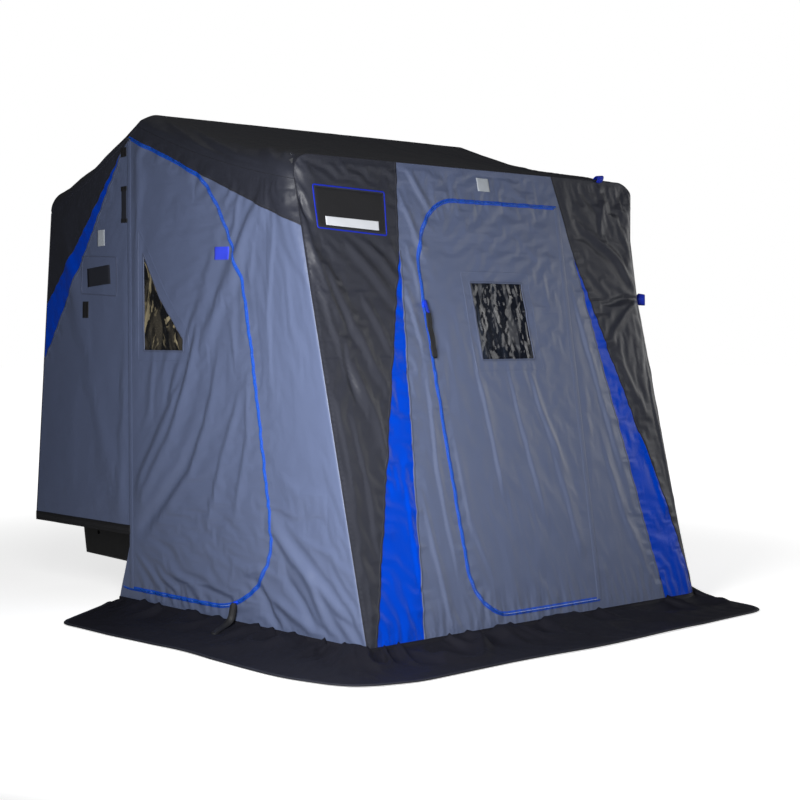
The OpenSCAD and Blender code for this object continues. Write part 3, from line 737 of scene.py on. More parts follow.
def new_finish(name):
    mat = bpy.data.materials.new(name)
    mat.use_nodes = True
    return mat, mat.node_tree, mat.node_tree.nodes["Principled BSDF"]

def mixed(tree, share, a, b):
    return add_node(tree, "Mix", data_type="RGBA", Factor=share, A=a, B=b).outputs["Result"]
print("node helpers ready")

# %% [markdown]
# Tent cloth is woven from flat filament yarns, a little under a millimetre apart.
# Two crossed waves give the over and under of the yarns, and noise keeps the yarns from being all alike.

# %% Weave group
weave, given, made = new_group("Woven yarns", ("Height", "Slub"), Yarns_per_metre=900.0)
split = add_node(weave, "SeparateXYZ", Vector=given["Vector"]).outputs
turn = maths(weave, "MULTIPLY", given["Yarns per metre"], math.pi)
waves = [maths(weave, "SINE", maths(weave, "MULTIPLY", split[i], turn)) for i in (0, 1)]
slub = add_node(weave, "TexNoise", Scale=160.0, Detail=2.0, Vector=given["Vector"]).outputs[0]
height = maths(weave, "MULTIPLY_ADD", maths(weave, "MULTIPLY", *waves), 0.5, slub)
wire(weave, made, Height=height, Slub=slub)
print("group", weave.name)

# %% [markdown]
# Coated cloth keeps fine creases from being packed: short sharp ridges that cross each other.
# Ridged noise, bent by a softer noise, gives such creases. Plain noise would look like lumps.

# %% Crumple group
crumple, given, made = new_group("Packed creases", ("Height",), Creases_per_metre=9.0)
bend = add_node(crumple, "TexNoise", Scale=4.0, Detail=1.0, Vector=given["Vector"])
bent = add_node(crumple, "VectorMath", operation="MULTIPLY_ADD")
for socket, value in zip(bent.inputs, (bend.outputs["Color"], (0.05, 0.05, 0.05), given["Vector"])):
    fill(crumple, socket, value)
ridge = add_node(crumple, "TexNoise", noise_type="RIDGED_MULTIFRACTAL", Detail=4.0, Roughness=0.5,
                 Vector=bent.outputs[0], Scale=given["Creases per metre"])
wire(crumple, made, Height=ridge.outputs[0])
print("group", crumple.name)

# %% [markdown]
# No dyed cloth is one flat colour: rolls differ, hands leave dull patches and dust settles in the weave.
# This group gives a slow tone and a fine speck mask that each finish mixes in by its own amount.

# %% Handling group
handling, given, made = new_group("Handling", ("Tone", "Dust"), Patches_per_metre=2.5)
tone = add_node(handling, "TexNoise", Detail=4.0, Roughness=0.6, Vector=given["Vector"],
                Scale=given["Patches per metre"])
dust = add_node(handling, "TexNoise", Scale=70.0, Detail=5.0, Roughness=0.7, Vector=given["Vector"])
ramp = add_node(handling, "MapRange", From_Min=0.58, From_Max=0.74, Value=dust.outputs[0])
wire(handling, made, Tone=tone.outputs[0], Dust=ramp.outputs[0])
print("group", handling.name)

# %% [markdown]
# Seams on tents are topstitched: short threads in a row near the seam's edge.
# The strip's map runs along it in metres, so a group can lay stitches by counting along and measuring across.

# %% Stitch group
stitches, given, made = new_group("Topstitches", ("Thread",), Across=0.003, Length=0.0042)
split = add_node(stitches, "SeparateXYZ", Vector=given["Vector"]).outputs
off = maths(stitches, "SUBTRACT", maths(stitches, "ABSOLUTE", split[1]), given["Across"])
row = maths(stitches, "LESS_THAN", maths(stitches, "ABSOLUTE", off), 0.0005)
dash = maths(stitches, "FRACT", maths(stitches, "DIVIDE", split[0], given["Length"]))
wire(stitches, made, Thread=maths(stitches, "MULTIPLY", row, maths(stitches, "LESS_THAN", dash, 0.7)))
print("group", stitches.name)

# %% [markdown]
# All the cloth of the hut is coated polyester. The rolls differ in colour and in how much they shine.
# One maker function places the shared groups, and the shader itself stays in each material.

# %% Cloth finishes
def rgb(r, g, b):
    """A colour written as it looks, in the linear form that shaders take."""
    return *(((c / 255 + 0.055) / 1.055) ** 2.4 if c > 10 else c / 255 / 12.92 for c in (r, g, b)), 1.0

def cloth(name, colour, worn, rough=0.5, crease=0.0012, creases=9.0, yarns=900.0, shine=0.5, spread=0.35,
          gloss=(1, 1, 1, 1), stitch=None):
    mat, tree, shader = new_finish(name)
    where = add_node(tree, "UVMap", uv_map="Cut").outputs[0]
    yarn = placed(tree, weave, Vector=where, Yarns_per_metre=yarns).outputs["Height"]
    fold = placed(tree, crumple, Vector=where, Creases_per_metre=creases).outputs["Height"]
    hand = placed(tree, handling, Vector=where).outputs
    share = maths(tree, "MULTIPLY_ADD", hand["Dust"], 0.12,
                  maths(tree, "MULTIPLY", hand["Tone"], spread), clamp=True)
    tone = mixed(tree, share, colour, worn)
    if stitch is not None:
        tone = mixed(tree, placed(tree, stitches, Vector=where).outputs["Thread"], tone, stitch)
    yarn_bump = add_node(tree, "Bump", Strength=0.35, Distance=0.00025, Height=yarn)
    fold_bump = add_node(tree, "Bump", Strength=0.8, Distance=crease, Height=fold,
                         Normal=yarn_bump.outputs[0])
    wire(tree, shader, Base_Color=tone, Normal=fold_bump.outputs[0], Specular_IOR_Level=shine,
         Specular_Tint=gloss, Roughness=maths(tree, "MULTIPLY_ADD", hand["Tone"], 0.16, rough - 0.08))
    return mat

BLACK = cloth("Black tent cloth", rgb(38, 40, 49), rgb(50, 52, 63), 0.44, 0.0034, 13.0, shine=0.34)
GREY = cloth("Grey tent cloth", rgb(84, 94, 122), rgb(96, 107, 137), 0.36, 0.0028, 12.0, shine=0.42)
BLUE = cloth("Blue tent cloth", rgb(0, 58, 180), rgb(0, 74, 204), 0.38, 0.0026, 12.0, gloss=rgb(10, 90, 255))
LINING = cloth("Black lining", rgb(24, 24, 28), rgb(36, 36, 41), 0.75, shine=0.2)
SKIRT = cloth("Coated skirt cloth", rgb(24, 24, 31), rgb(38, 38, 46), 0.62, 0.0034, shine=0.1)
BLACK_SEAM = cloth("Black seam", rgb(34, 35, 42), rgb(48, 49, 57), 0.6, 0.0006, 60.0, shine=0.2,
                   stitch=rgb(66, 68, 78))
GREY_SEAM = cloth("Grey seam", rgb(74, 82, 106), rgb(88, 98, 124), 0.5, 0.0005, 60.0, shine=0.3,
                  stitch=rgb(96, 105, 132))
print("cloth finishes", [m.name for m in bpy.data.materials if "cloth" in m.name])

# %% [markdown]
# Every piece below becomes a mesh from points and faces that are worked out first.
# Modelling them with Blender's operators would depend on selections. Plain data gives the same mesh each run.

# %% Mesh maker
def add_mesh(name, points, faces, mats, uv=None, body="hut", thick=0.0, normals=None, mat_index=None):
    """An object from points and faces that rides on a body, if it has one."""
    me = bpy.data.meshes.new(name)
    me.from_pydata([tuple(p) for p in points], [], [tuple(int(i) for i in f) for f in faces])
    me.polygons.foreach_set("use_smooth", [True] * len(me.polygons))
    if uv is not None:
        layer = me.uv_layers.new(name="Cut")
        loops = np.empty(len(me.loops), int)
        me.loops.foreach_get("vertex_index", loops)
        layer.uv.foreach_set("vector", np.asarray(uv)[loops].astype(np.float32).ravel())
    for m in mats:
        me.materials.append(m)
    if mat_index is not None:
        me.polygons.foreach_set("material_index", mat_index)
    if normals is not None:
        me.normals_split_custom_set_from_vertices([tuple(n) for n in normals])
    ob = bpy.data.objects.new(name, me)
    scene.collection.objects.link(ob)
    if thick:
        mod = ob.modifiers.new("Cloth thickness", "SOLIDIFY")
        mod.thickness, mod.offset, mod.material_offset = thick, -1, len(mats) - 1
    if body:
        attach(ob, body)
    return ob
print("mesh maker ready")

# %% [markdown]
# A sewn panel is a blank shaped by its board. Its thickness goes toward the inside, where the lining shows.
# A Solidify modifier could give that thickness, but it would bend the light at every seam between two panels.
# Here both faces take their normals from the board, so the light runs on across the seams.

# %% Cloth with two faces
def outward(points, faces, out):
    """Faces wound so that they look outward."""
    a, b, c = (points[faces[:, k]] for k in range(3))
    turned = (np.cross(b - a, c - a) * out).sum(1).sum() < 0
    return faces[:, ::-1] if turned else faces

CLOTH_THICK = 0.003

def thick_cloth(name, board, uv, faces, mat, body="hut"):
    """A piece of cloth with an outer face, a lining and a rim."""
    points, normals = surface(board, uv), facing(board, uv)
    faces = outward(points, faces, out_of(board))
    n, k = len(points), faces.shape[1]
    sides = np.concatenate([np.stack([faces[:, i], faces[:, (i + 1) % k]], 1) for i in range(k)])
    seen = set(map(tuple, sides))
    rim = np.array([(a, b) for a, b in map(tuple, sides) if (b, a) not in seen])
    quads = np.stack([rim[:, 1], rim[:, 0], rim[:, 0] + n, rim[:, 1] + n], 1)
    every = [tuple(f) for part in (faces, faces[:, ::-1] + n, quads) for f in part]
    index = [0] * len(faces) + [1] * len(faces) + [0] * len(quads)
    return add_mesh(name, np.vstack([points, points - normals * CLOTH_THICK]), every, [mat, LINING],
                    np.vstack([uv, uv]), body, normals=np.vstack([normals, -normals]), mat_index=index)
print("cloth thickness", CLOTH_THICK)

# %% [markdown]
# A panel is sewn from one cut of cloth, so the cuts of its solids fill one blank and the solids are hidden.

def panel(name, nodes, board, mat, body="hut", step=0.0105):
    """One sheet of cloth for one or more flat solids of a board."""
    loops = [cuts(node, board) for node in nodes]
    outers, holes = [r[0] for r in loops], [h for r in loops for h in r[1:]]
    ob = thick_cloth(name, board, *blank(outers, holes, step), mat, body)
    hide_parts(*nodes)
    return ob

# %% [markdown]
# Grey, black and blue panels of the front wall, from the corner pieces in to the door.
# The grey cloth round the doorway is cut from one piece, so the solids of that frame share one sheet.

# %% Front wall
for node, mat in (("left_corner", BLACK), ("right_corner", BLACK), ("left_gore", BLUE), ("right_gore", BLUE)):
    panel("Cloth_" + node, [node], "front", mat)
panel("Cloth_front_frame", ["front_head", "front_jamb_left", "front_jamb_right", "front_sill"], "front", GREY)
front_leaf = panel("Cloth_front_door", ["front_door"], "front", GREY, "front_leaf")
print("front wall", len(front_leaf.data.vertices), "points in the door")

# %% [markdown]
# Both side walls have the same cut. The left one carries the door that opens here.
# The right and rear walls are woven coarser, because less of them is seen.

# %% Side walls
for side, fine, leaf in (("left", 0.0105, "left_leaf"), ("right", 0.016, "hut")):
    for part, mat in (("shoulder", BLACK), ("rear_shoulder", BLACK), ("stripe", BLUE), ("end_panel", GREY)):
        panel(f"Cloth_{side}_{part}", [f"{side}_{part}"], side, mat, step=fine)
    panel(f"Cloth_{side}_side_frame", [f"{side}_side_panel", f"{side}_sill"], side, GREY, step=fine)
    panel(f"Cloth_{side}_door", [f"{side}_door"], side, GREY, leaf, step=fine)
panel("Cloth_rear_wall", ["rear_wall"], "rear", BLACK, step=0.02)
print("side walls done")

# %% [markdown]
# The roof is one strip of cloth for each slope, woven as a plain grid because it has no corners to cut round.

# %% Roof
def grid_faces(rows, cols):
    return np.array([(i * cols + j, i * cols + j + 1, (i + 1) * cols + j + 1, (i + 1) * cols + j)
                     for i in range(rows - 1) for j in range(cols - 1)])

for node, v0, v1 in (("front_roof", -ROOF_RUN[0], 0.0), ("rear_roof", 0.0, ROOF_RUN[1])):
    us, vs = np.linspace(-ROOF_HALF, ROOF_HALF, 180), np.linspace(v0, v1, int((v1 - v0) / 0.012) + 2)
    uv = np.array([(u, v) for v in vs for u in us])
    ob = thick_cloth("Cloth_" + node, "roof", uv, grid_faces(len(vs), len(us)), BLACK)
    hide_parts(node)
print("roof half width over the elbows", round(ROOF_HALF, 3))

# %% [markdown]
# Seams, zips, webbing and labels are all narrow strips that lie on the cloth.
# Curves with a bevel could make them, but strips woven from the same boards follow every fold of the cloth.
# A profile of across and height pairs gives the section. Its edges dip into the cloth, so no gap shows.

# %% Strips on the cloth
def chaikin(line, rounds=2):
    """Rounds the corners of a line and keeps its ends."""
    line = np.asarray(line, float)
    for _ in range(rounds):
        q, r = line[:-1] * 0.75 + line[1:] * 0.25, line[:-1] * 0.25 + line[1:] * 0.75
        line = np.vstack([line[:1], np.stack([q, r], 1).reshape(-1, line.shape[1]), line[-1:]])
    return line

def unit(rows):
    return rows / (np.linalg.norm(rows, axis=1)[:, None] + 1e-12)

def distance_gone(path):
    return np.concatenate([[0], np.cumsum(np.linalg.norm(np.diff(path, axis=0), axis=1))])

def side_of(path):
    """Side direction at each point of a flat path."""
    d = unit(np.gradient(path, axis=0))
    return np.stack([-d[:, 1], d[:, 0]], 1)

def woven(columns, gone, across, out):
    """Points, outward faces and map of a sheet that is given as columns of points."""
    points = np.stack(columns, 1).reshape(-1, 3)
    faces = outward(points, grid_faces(len(gone), len(columns)), out)
    across = np.broadcast_to(across, (len(gone), len(columns)))
    return points, faces, np.stack([np.repeat(gone, len(columns)), across.ravel()], 1)

def joined(parts):
    """Several meshes as the points, faces and map of one."""
    points, faces, maps, n = [], [], [], 0
    for p, f, t in parts:
        points.append(p)
        maps.append(t)
        faces += [tuple(i + n for i in q) for q in f]
        n += len(p)
    return np.vstack(points), faces, np.vstack(maps)

def strip_mesh(board, line, profile, step, closed):
    path = walk(np.asarray(line, float), step, closed)
    if closed:
        path = np.vstack([path, path[:2]])
    side, gone = side_of(path), distance_gone(path)
    if closed:
        path, side, gone = path[:-1], np.vstack([side[-2:-1], side[1:-1]]), gone[:-1]
    columns = [surface(board, path + side * a, h) for a, h in profile]
    return woven(columns, gone, [a for a, _ in profile], out_of(board))

def strips(name, runs, profile, mat, body="hut", step=0.008, closed=False, thick=0.0):
    """One piece from several strips; each run is a board and a line on it."""
    p, f, uv = joined(strip_mesh(board, line, profile, step, closed) for board, line in runs)
    return add_mesh(name, p, f, [mat], uv, body, thick)

def flat_profile(width, height=0.001, sink=0.0015):
    h = width / 2
    return [(-h, -sink), (-h + 0.0006, height * 0.8), (-h * 0.5, height), (0, height), (h * 0.5, height),
            (h - 0.0006, height * 0.8), (h, -sink)]
print("strip helpers ready")

# %% [markdown]
# Trims need their own finishes: woven webbing, reflective labels, sewn seams, and the zip with its coil.
# The zip's coil sits within a few millimetres of its middle, so a mask across the strip tells coil from tape.
# Between the coil's turns the tape is painted darker, as painted shade in the gaps.

# %% Trim finishes
COIL_HALF, COIL_PITCH, TAPE_RIB = 0.0034, 0.0021, 0.0012

def coil_finish(name, tape, coil):
    mat, tree, shader = new_finish(name)
    where = add_node(tree, "UVMap", uv_map="Cut").outputs[0]
    along, across = list(add_node(tree, "SeparateXYZ", Vector=where).outputs)[:2]
    inner = maths(tree, "LESS_THAN", maths(tree, "ABSOLUTE", across), COIL_HALF)
    turn = maths(tree, "SINE", maths(tree, "MULTIPLY", along, 2 * math.pi / COIL_PITCH))
    rib = maths(tree, "SINE", maths(tree, "MULTIPLY", across, 2 * math.pi / TAPE_RIB))
    # Painted shade: the tape shows at a third of its colour in the gaps between the coil's turns.
    shaded_gaps = maths(tree, "MULTIPLY", inner, maths(tree, "LESS_THAN", turn, -0.45))
    tone = mixed(tree, shaded_gaps, mixed(tree, inner, tape, coil), tuple(c * 0.35 for c in tape[:3]) + (1,))
    ribs = maths(tree, "MULTIPLY", maths(tree, "SUBTRACT", 1.0, inner), maths(tree, "MULTIPLY", rib, 0.25))
    height = maths(tree, "MULTIPLY_ADD", maths(tree, "MULTIPLY", inner, turn), 1.0, ribs)
    bump = add_node(tree, "Bump", Strength=0.6, Distance=0.0006, Height=height).outputs[0]
    wire(tree, shader, Base_Color=tone, Normal=bump, Roughness=maths(tree, "MULTIPLY_ADD", inner, -0.25, 0.6))
    return mat

def webbing(name, colour, worn, stitch=None, rough=0.62, shine=0.3):
    return cloth(name, colour, worn, rough, 0.0004, 30.0, yarns=420.0, shine=shine, stitch=stitch)

ZIP = coil_finish("Blue zip", rgb(0, 66, 176), rgb(14, 98, 214))
BLACK_WEB = webbing("Black webbing", rgb(20, 20, 22), rgb(44, 44, 48), stitch=rgb(58, 58, 62))
BLUE_WEB = webbing("Blue webbing", rgb(0, 30, 160), rgb(14, 50, 190), stitch=rgb(50, 90, 210))
BLUE_MARK = webbing("Blue loop tape", rgb(48, 64, 206), rgb(66, 84, 220))
REFLECTIVE = webbing("Reflective label", rgb(164, 170, 178), rgb(188, 194, 200), rough=0.45)
HOOK_TAPE = webbing("Dark hook tape", rgb(34, 36, 44), rgb(52, 54, 62), rough=0.85, shine=0.15)
PALE_PRINT = webbing("Pale name field", rgb(196, 199, 205), rgb(212, 215, 220), rough=0.6)
print("trim finishes", [m.name for m in (ZIP, BLACK_WEB, BLUE_WEB, REFLECTIVE, HOOK_TAPE)])

# %% [markdown]
# Where two panels meet, the maker folds their edges together and stitches them down twice.
# The strip lies on the side of the darker cloth, as the fold does, and catches a thin line of light.

# %% Panel seams
def shifted(line, gap):
    """A line on the front board, moved sideways by a gap."""
    line = np.asarray(line, float)
    return "front", line + side_of(line) * gap

FELL, FELL_GAP = flat_profile(0.009, 0.0011), 0.005
black_runs, grey_runs = [], []
head = cuts("front_head", "front")[0]
for ring in first_cuts("front", "left_gore", "right_gore"):
    ring = ring[ring[:, 1].argsort()]
    tip, foot = ring[-1], ring[:-1][np.abs(ring[:-1, 0]).argsort()]
    top = head[(head[:, 1] > head[:, 1].max() - 1e-4) & (head[:, 0] * tip[0] > 0)][0]
    gap = FELL_GAP if tip[0] > 0 else -FELL_GAP
    black_runs += [shifted([foot[1], tip], -gap), shifted([tip, top], -gap)]
    grey_runs += [shifted([foot[0], tip], gap)]
shoulder, stripe = first_cuts("left", "left_shoulder", "left_stripe")
low, peak = shoulder[shoulder[:, 1].argmin()], shoulder[shoulder[:, 0].argmax()]
stripe = stripe[stripe[:, 1].argsort()]
for side in ("left", "right"):
    black_runs += [(side, np.array([low + (0, 0.005), peak + (0, 0.004)])),
                   (side, np.array([peak + (0.004, -0.008), stripe[2] + (0.002, 0.004),
                                    stripe[1] + (0, 0.005)]))]
    grey_runs += [(side, np.array([stripe[2] + (-0.002, -0.012), stripe[0] + (-0.003, -0.006)]))]
strips("Seams_black", black_runs, FELL, BLACK_SEAM)
strips("Seams_grey", grey_runs, FELL, GREY_SEAM)
print("seams", len(black_runs), len(grey_runs))

# %% [markdown]
# The corners of the hut and the edges of its roof are bound: a folded tape covers both raw edges.
# It is a tube swept along the edge where two boards meet, so it stays on the edge whatever the folds do.

# %% Bound edges
def ring_faces(rows, n):
    """Faces between rows of points that each close into a ring."""
    return [(i * n + j, i * n + (j + 1) % n, (i + 1) * n + (j + 1) % n, (i + 1) * n + j)
            for i in range(rows - 1) for j in range(n)]

def tube(path, radius, sides=8):
    """Points and faces of a tube along a path in space, and its map along and round."""
    path = np.asarray(path, float)
    d = unit(np.gradient(path, axis=0))
    up = np.where(np.abs(d[:, 2:3]) > 0.9, np.array([[0, 1.0, 0]]), np.array([[0, 0, 1.0]]))
    a = unit(np.cross(d, up))
    b = np.cross(d, a)
    turns = np.linspace(0, 2 * math.pi, sides, endpoint=False)
    points = np.stack([path + radius * (a * math.cos(t) + b * math.sin(t)) for t in turns], 1).reshape(-1, 3)
    uv = np.stack([np.repeat(distance_gone(path), sides), np.tile(turns * radius, len(path))], 1)
    return points, ring_faces(len(path), sides), uv

def edge_line(board, us, vs, lift):
    u, v = np.broadcast_arrays(us, vs)
    return surface(board, np.stack([u, v], 1), lift)

zs = np.arange(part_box("left_corner")[0].z + 0.004, eave_z(front_head[1]), 0.008)
rear_zs = np.arange(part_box("rear_wall")[0].z, eave_z(rear_head[1]), 0.012)
us = np.linspace(-ROOF_HALF, ROOF_HALF, 260)
vs = np.linspace(-ROOF_RUN[0], ROOF_RUN[1], 200)
edges = [edge_line("front", s * HALF, zs, -0.0004) for s in (-1, 1)]
edges += [edge_line("rear", s * HALF, rear_zs, -0.0004) for s in (-1, 1)]
edges += [edge_line("roof", us, v, -0.0006) for v in (-ROOF_RUN[0], ROOF_RUN[1])]
edges += [edge_line("roof", s * ROOF_HALF, vs, -0.0004) for s in (-1, 1)]
p, f, uv = joined(tube(path, 0.0014) for path in edges)
add_mesh("Bound_edges", p, f, [BLACK_SEAM], uv)
print("bound edges", len(edges))

# %% [markdown]
# Each doorway is closed by a coil zip on blue tape. One half is sewn to the door and the other to the wall.
# The two halves are separate strips, so that one can swing with the leaf when the door is folded open.

# %% Zips
ZIP_STEP, ZIP_STOP, ZIP_HALF_GAP, ON_FOLD = 0.006, 3, 0.0025, 0.012

def free_edge(node, board, hinge):
    """The leaf's edge without its hinge side, from the head down, moved out to the middle of the zip."""
    ring = cuts(node, board)[0]
    ends = np.roll(ring, -1, axis=0)
    on = [i for i, (a, b) in enumerate(zip(ring, ends)) if hinge(a) and hinge(b)]
    i = max(on, key=lambda k: np.linalg.norm(ends[k] - ring[k]))
    line = np.roll(ring, -i - 1, axis=0)
    line = line[::-1] if line[0][1] < line[-1][1] else line
    side = side_of(line)
    away = np.sign(((line - ring.mean(0)) * side).sum())
    return chaikin(line + side * away * ZIP_HALF_GAP, 2), away

COIL = [(0.0003, -0.0008), (0.0003, 0.0016), (0.0011, 0.0029), (0.0022, 0.003), (0.0031, 0.0021),
        (0.0035, 0.0011), (0.0048, 0.0012), (0.0070, 0.0011), (0.0082, 0.0007), (0.0087, -0.0015)]

def zip_halves(name, node, board, hinge, leaf, tail=()):
    line, away = free_edge(node, board, hinge)
    halves = (COIL, [(-a, h) for a, h in COIL])
    outer, inner = halves if away > 0 else halves[::-1]
    strips(f"{name}_wall_half", [(board, np.vstack([line, *tail]))], outer, ZIP, "hut", ZIP_STEP)
    fine = walk(line, 0.005, closed=False)[ZIP_STOP:-ZIP_STOP]
    strips(f"{name}_leaf_half", [(board, fine)], inner, ZIP, leaf, ZIP_STEP)
    return walk(line, ZIP_STEP, closed=False)

jamb = cuts("front_jamb_right", "front")[0]
jamb = jamb[jamb[:, 0].argsort()][:2]
jamb = jamb[jamb[:, 1].argsort()]

def on_front_fold(p):
    x = jamb[0][0] + (jamb[1][0] - jamb[0][0]) * (p[1] - jamb[0][1]) / (jamb[1][1] - jamb[0][1])
    return abs(p[0] - x) < ON_FOLD

def on_side_fold(p):
    return abs(p[0] - SEAM_Y) < ON_FOLD

front_zip = zip_halves("Front_zip", "front_door", "front", on_front_fold, "front_leaf")
sill_back, sill_z = cuts("left_sill", "left")[0][:, 0].max(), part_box("left_door")[0].z - ZIP_HALF_GAP
side_tail = [(SEAM_Y + 0.02, sill_z), (sill_back - 0.035, sill_z + 0.004)]
side_zip = zip_halves("Left_zip", "left_door", "left", on_side_fold, "left_leaf", side_tail)
zip_halves("Right_zip", "right_door", "right", on_side_fold, "hut", side_tail)
print("zips", len(front_zip), len(side_zip), "sill back", round(sill_back, 3))

# %% [markdown]
# Painted metal and moulded plastic are handled too: they take dust and scratches, and shine unevenly.
# They share the handling group with the cloth, with finer patches and a grain in place of the weave.

# %% Painted metal
def metal_paint(name, colour, rough, metallic=0.0, scratch=0.25):
    mat, tree, shader = new_finish(name)
    where = add_node(tree, "TexCoord").outputs["Object"]
    hand = placed(tree, handling, Vector=where, Patches_per_metre=9.0).outputs
    grain = add_node(tree, "TexNoise", Scale=420.0, Detail=2.0, Vector=where).outputs[0]
    worn = tuple(min(1, c * 1.6 + 0.004) for c in colour[:3]) + (1,)
    share = maths(tree, "MULTIPLY_ADD", hand["Dust"], scratch, maths(tree, "MULTIPLY", hand["Tone"], 0.2))
    bump = add_node(tree, "Bump", Strength=0.25, Distance=0.0003, Height=grain).outputs[0]
    wire(tree, shader, Base_Color=mixed(tree, share, colour, worn), Normal=bump, Metallic=metallic,
         Roughness=maths(tree, "MULTIPLY_ADD", hand["Tone"], 0.22, rough - 0.11))
    return mat
print("painted metal ready")

# %% [markdown]
# A zip slider is a small flared casting with a bridge over its top.
# It is lofted from a few outlines rather than cut from a block, so its nose is narrow and its shoulders wide.

# %% Zip slider
SLIDER = metal_paint("Blue slider paint", rgb(0, 60, 210), 0.35)
NOSE_TO_SHOULDER = [(-0.011, 0.0035), (-0.004, 0.0048), (0.004, 0.0075), (0.010, 0.0078), (0.0125, 0.005)]
SLIDER_ROWS = [(0.0, 0.92), (0.0012, 1.0), (0.0036, 1.0), (0.0052, 0.86), (0.0056, 0.5)]
BRIDGE = [(-0.007, 0.0045), (-0.005, 0.0085), (0.0, 0.0098), (0.005, 0.0085), (0.007, 0.0045)]
ON_TAPE = 0.0015

def slider(name, board, at, along):
    """A slider on a board: rows of a flared outline at rising heights, with a bridge over them."""
    along = np.array(along, float) / np.linalg.norm(along)
    side = np.array([-along[1], along[0]])
    ring = NOSE_TO_SHOULDER + [(x, -y) for x, y in reversed(NOSE_TO_SHOULDER)]
    points = []
    for h, k in SLIDER_ROWS:
        uv = np.array([at + along * x * (1 if k > 0.9 else k) + side * y * k for x, y in ring])
        points.append(surface(board, uv, ON_TAPE + h))
    n, rows = len(ring), len(SLIDER_ROWS)
    faces = ring_faces(rows, n) + [tuple(range((rows - 1) * n, rows * n))]
    path = np.vstack([surface(board, (at + along * x)[None], ON_TAPE + h) for x, h in BRIDGE])
    p, f, _ = tube(path, 0.0014, 6)
    faces += [tuple(i + rows * n for i in q) for q in f]
    return add_mesh(name, np.vstack(points + [p]), faces, [SLIDER])
print("slider rows", len(SLIDER_ROWS))

# %% [markdown]
# A pull of doubled webbing hangs from each slider, long enough for a mitten, and drapes over what lies below.
# Its section is swept along a path on the folded surface, with a narrow throat and a rounded end.

# %% Webbing pulls
STRAP = [(-1, 0), (-0.85, 1), (0, 1.15), (0.85, 1), (1, 0), (0.85, -1), (0, -1.15), (-0.85, -1)]

def pull(name, path, across, width, mat=BLACK_WEB, thick=0.0022):
    """A flat webbing strap along a path in space, folded double with a rounded end."""
    d = unit(np.gradient(path, axis=0))
    a = np.broadcast_to(np.array(across, float), path.shape)
    a = unit(a - (a * d).sum(1)[:, None] * d)
    n, gone, k = np.cross(a, d), distance_gone(path), len(STRAP)
    s = gone / gone[-1]
    w = width / 2 * np.clip(0.55 + 8 * s, 0, 1) * np.sqrt(np.clip((1.0 - s) * 14 + 0.25, 0, 1))
    t = thick * (1 + 0.5 * np.sin(s * 9))
    rows = [path + a * (w * x)[:, None] + n * (t * y)[:, None] for x, y in STRAP]
    points, last = np.stack(rows, 1).reshape(-1, 3), (len(path) - 1) * k
    faces = ring_faces(len(path), k) + [tuple(range(k))[::-1], tuple(range(last, last + k))]
    uv = np.stack([np.repeat(gone, k), np.tile([x * width / 2 for x, _ in STRAP], len(path))], 1)
    return add_mesh(name, points, faces, [mat], uv)

def near(line, value, axis):
    """The place on a line that is nearest a value, and the direction there."""
    i = min(max(int(np.abs(line[:, axis] - value).argmin()), 1), len(line) - 2)
    return line[i], line[i + 1] - line[i - 1]

def hang(board, start, end, lifts, n=22):
    """A path on the cloth between two places with a lift at each of some even steps."""
    t = np.linspace(0, 1, n)
    lift = np.interp(t, np.linspace(0, 1, len(lifts)), lifts)
    return surface(board, start + (end - start) * t[:, None], lift)

at, along = near(front_zip, 1.212, 1)
slider("Front_zip_slider", "front", at, along)
path = hang("front", at + (0.004, -0.03), at + (0.006, -0.2), [0.012, 0.009, 0.007, 0.009, 0.006, 0.008])
pull("Front_zip_pull", path, (1, 0, 0), 0.026)
path = hang("front", at + (0.001, 0.014), at + (0.004, -0.036), [0.009, 0.0125, 0.0135, 0.013, 0.0125])
pull("Front_pull_tab", path, (1, 0, 0), 0.015, BLUE_WEB, 0.0016)
print("front slider at", at)

# %% [markdown]
# Along the fold of each door the cloth isn't cut: it bends. A narrow strip bridges the leaf and the wall.

# %% Fold strips
FOLD_PROFILE = [(-0.013, -0.0015), (-0.0122, 0.0004), (-0.0085, 0.0007), (-0.004, 0.0009), (0, 0.001),
                (0.004, 0.0009), (0.0085, 0.0007), (0.0122, 0.0004), (0.013, -0.0015)]
FOLD_REACH, PAST_DOOR = 0.009, 0.004
pos, axis = joint_line("front_door_fold")
low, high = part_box("front_door")
line = [(pos[0] + axis[0] / axis[2] * (z - pos[2]), z) for z in (low.z - PAST_DOOR, high.z + PAST_DOOR)]
front_fold = strips("Front_door_fold_strip", [("front", line)], FOLD_PROFILE, GREY, None)
across = np.cross(axis, FRONT_OUT)
across *= np.sign(across[0])
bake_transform(front_fold)
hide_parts("door_seams")
pos, axis = joint_line("left_door_fold")
low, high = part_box("left_door")
line = [(pos[1], low.z - PAST_DOOR), (pos[1], high.z - 0.012)]
left_fold = strips("Left_door_fold_strip", [("left", line)], FOLD_PROFILE, GREY, None)
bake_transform(left_fold)
strips("Right_door_fold_strip", [("right", line)], FOLD_PROFILE, GREY)
print("fold strips at", [round(float(x), 3) for x in pos])
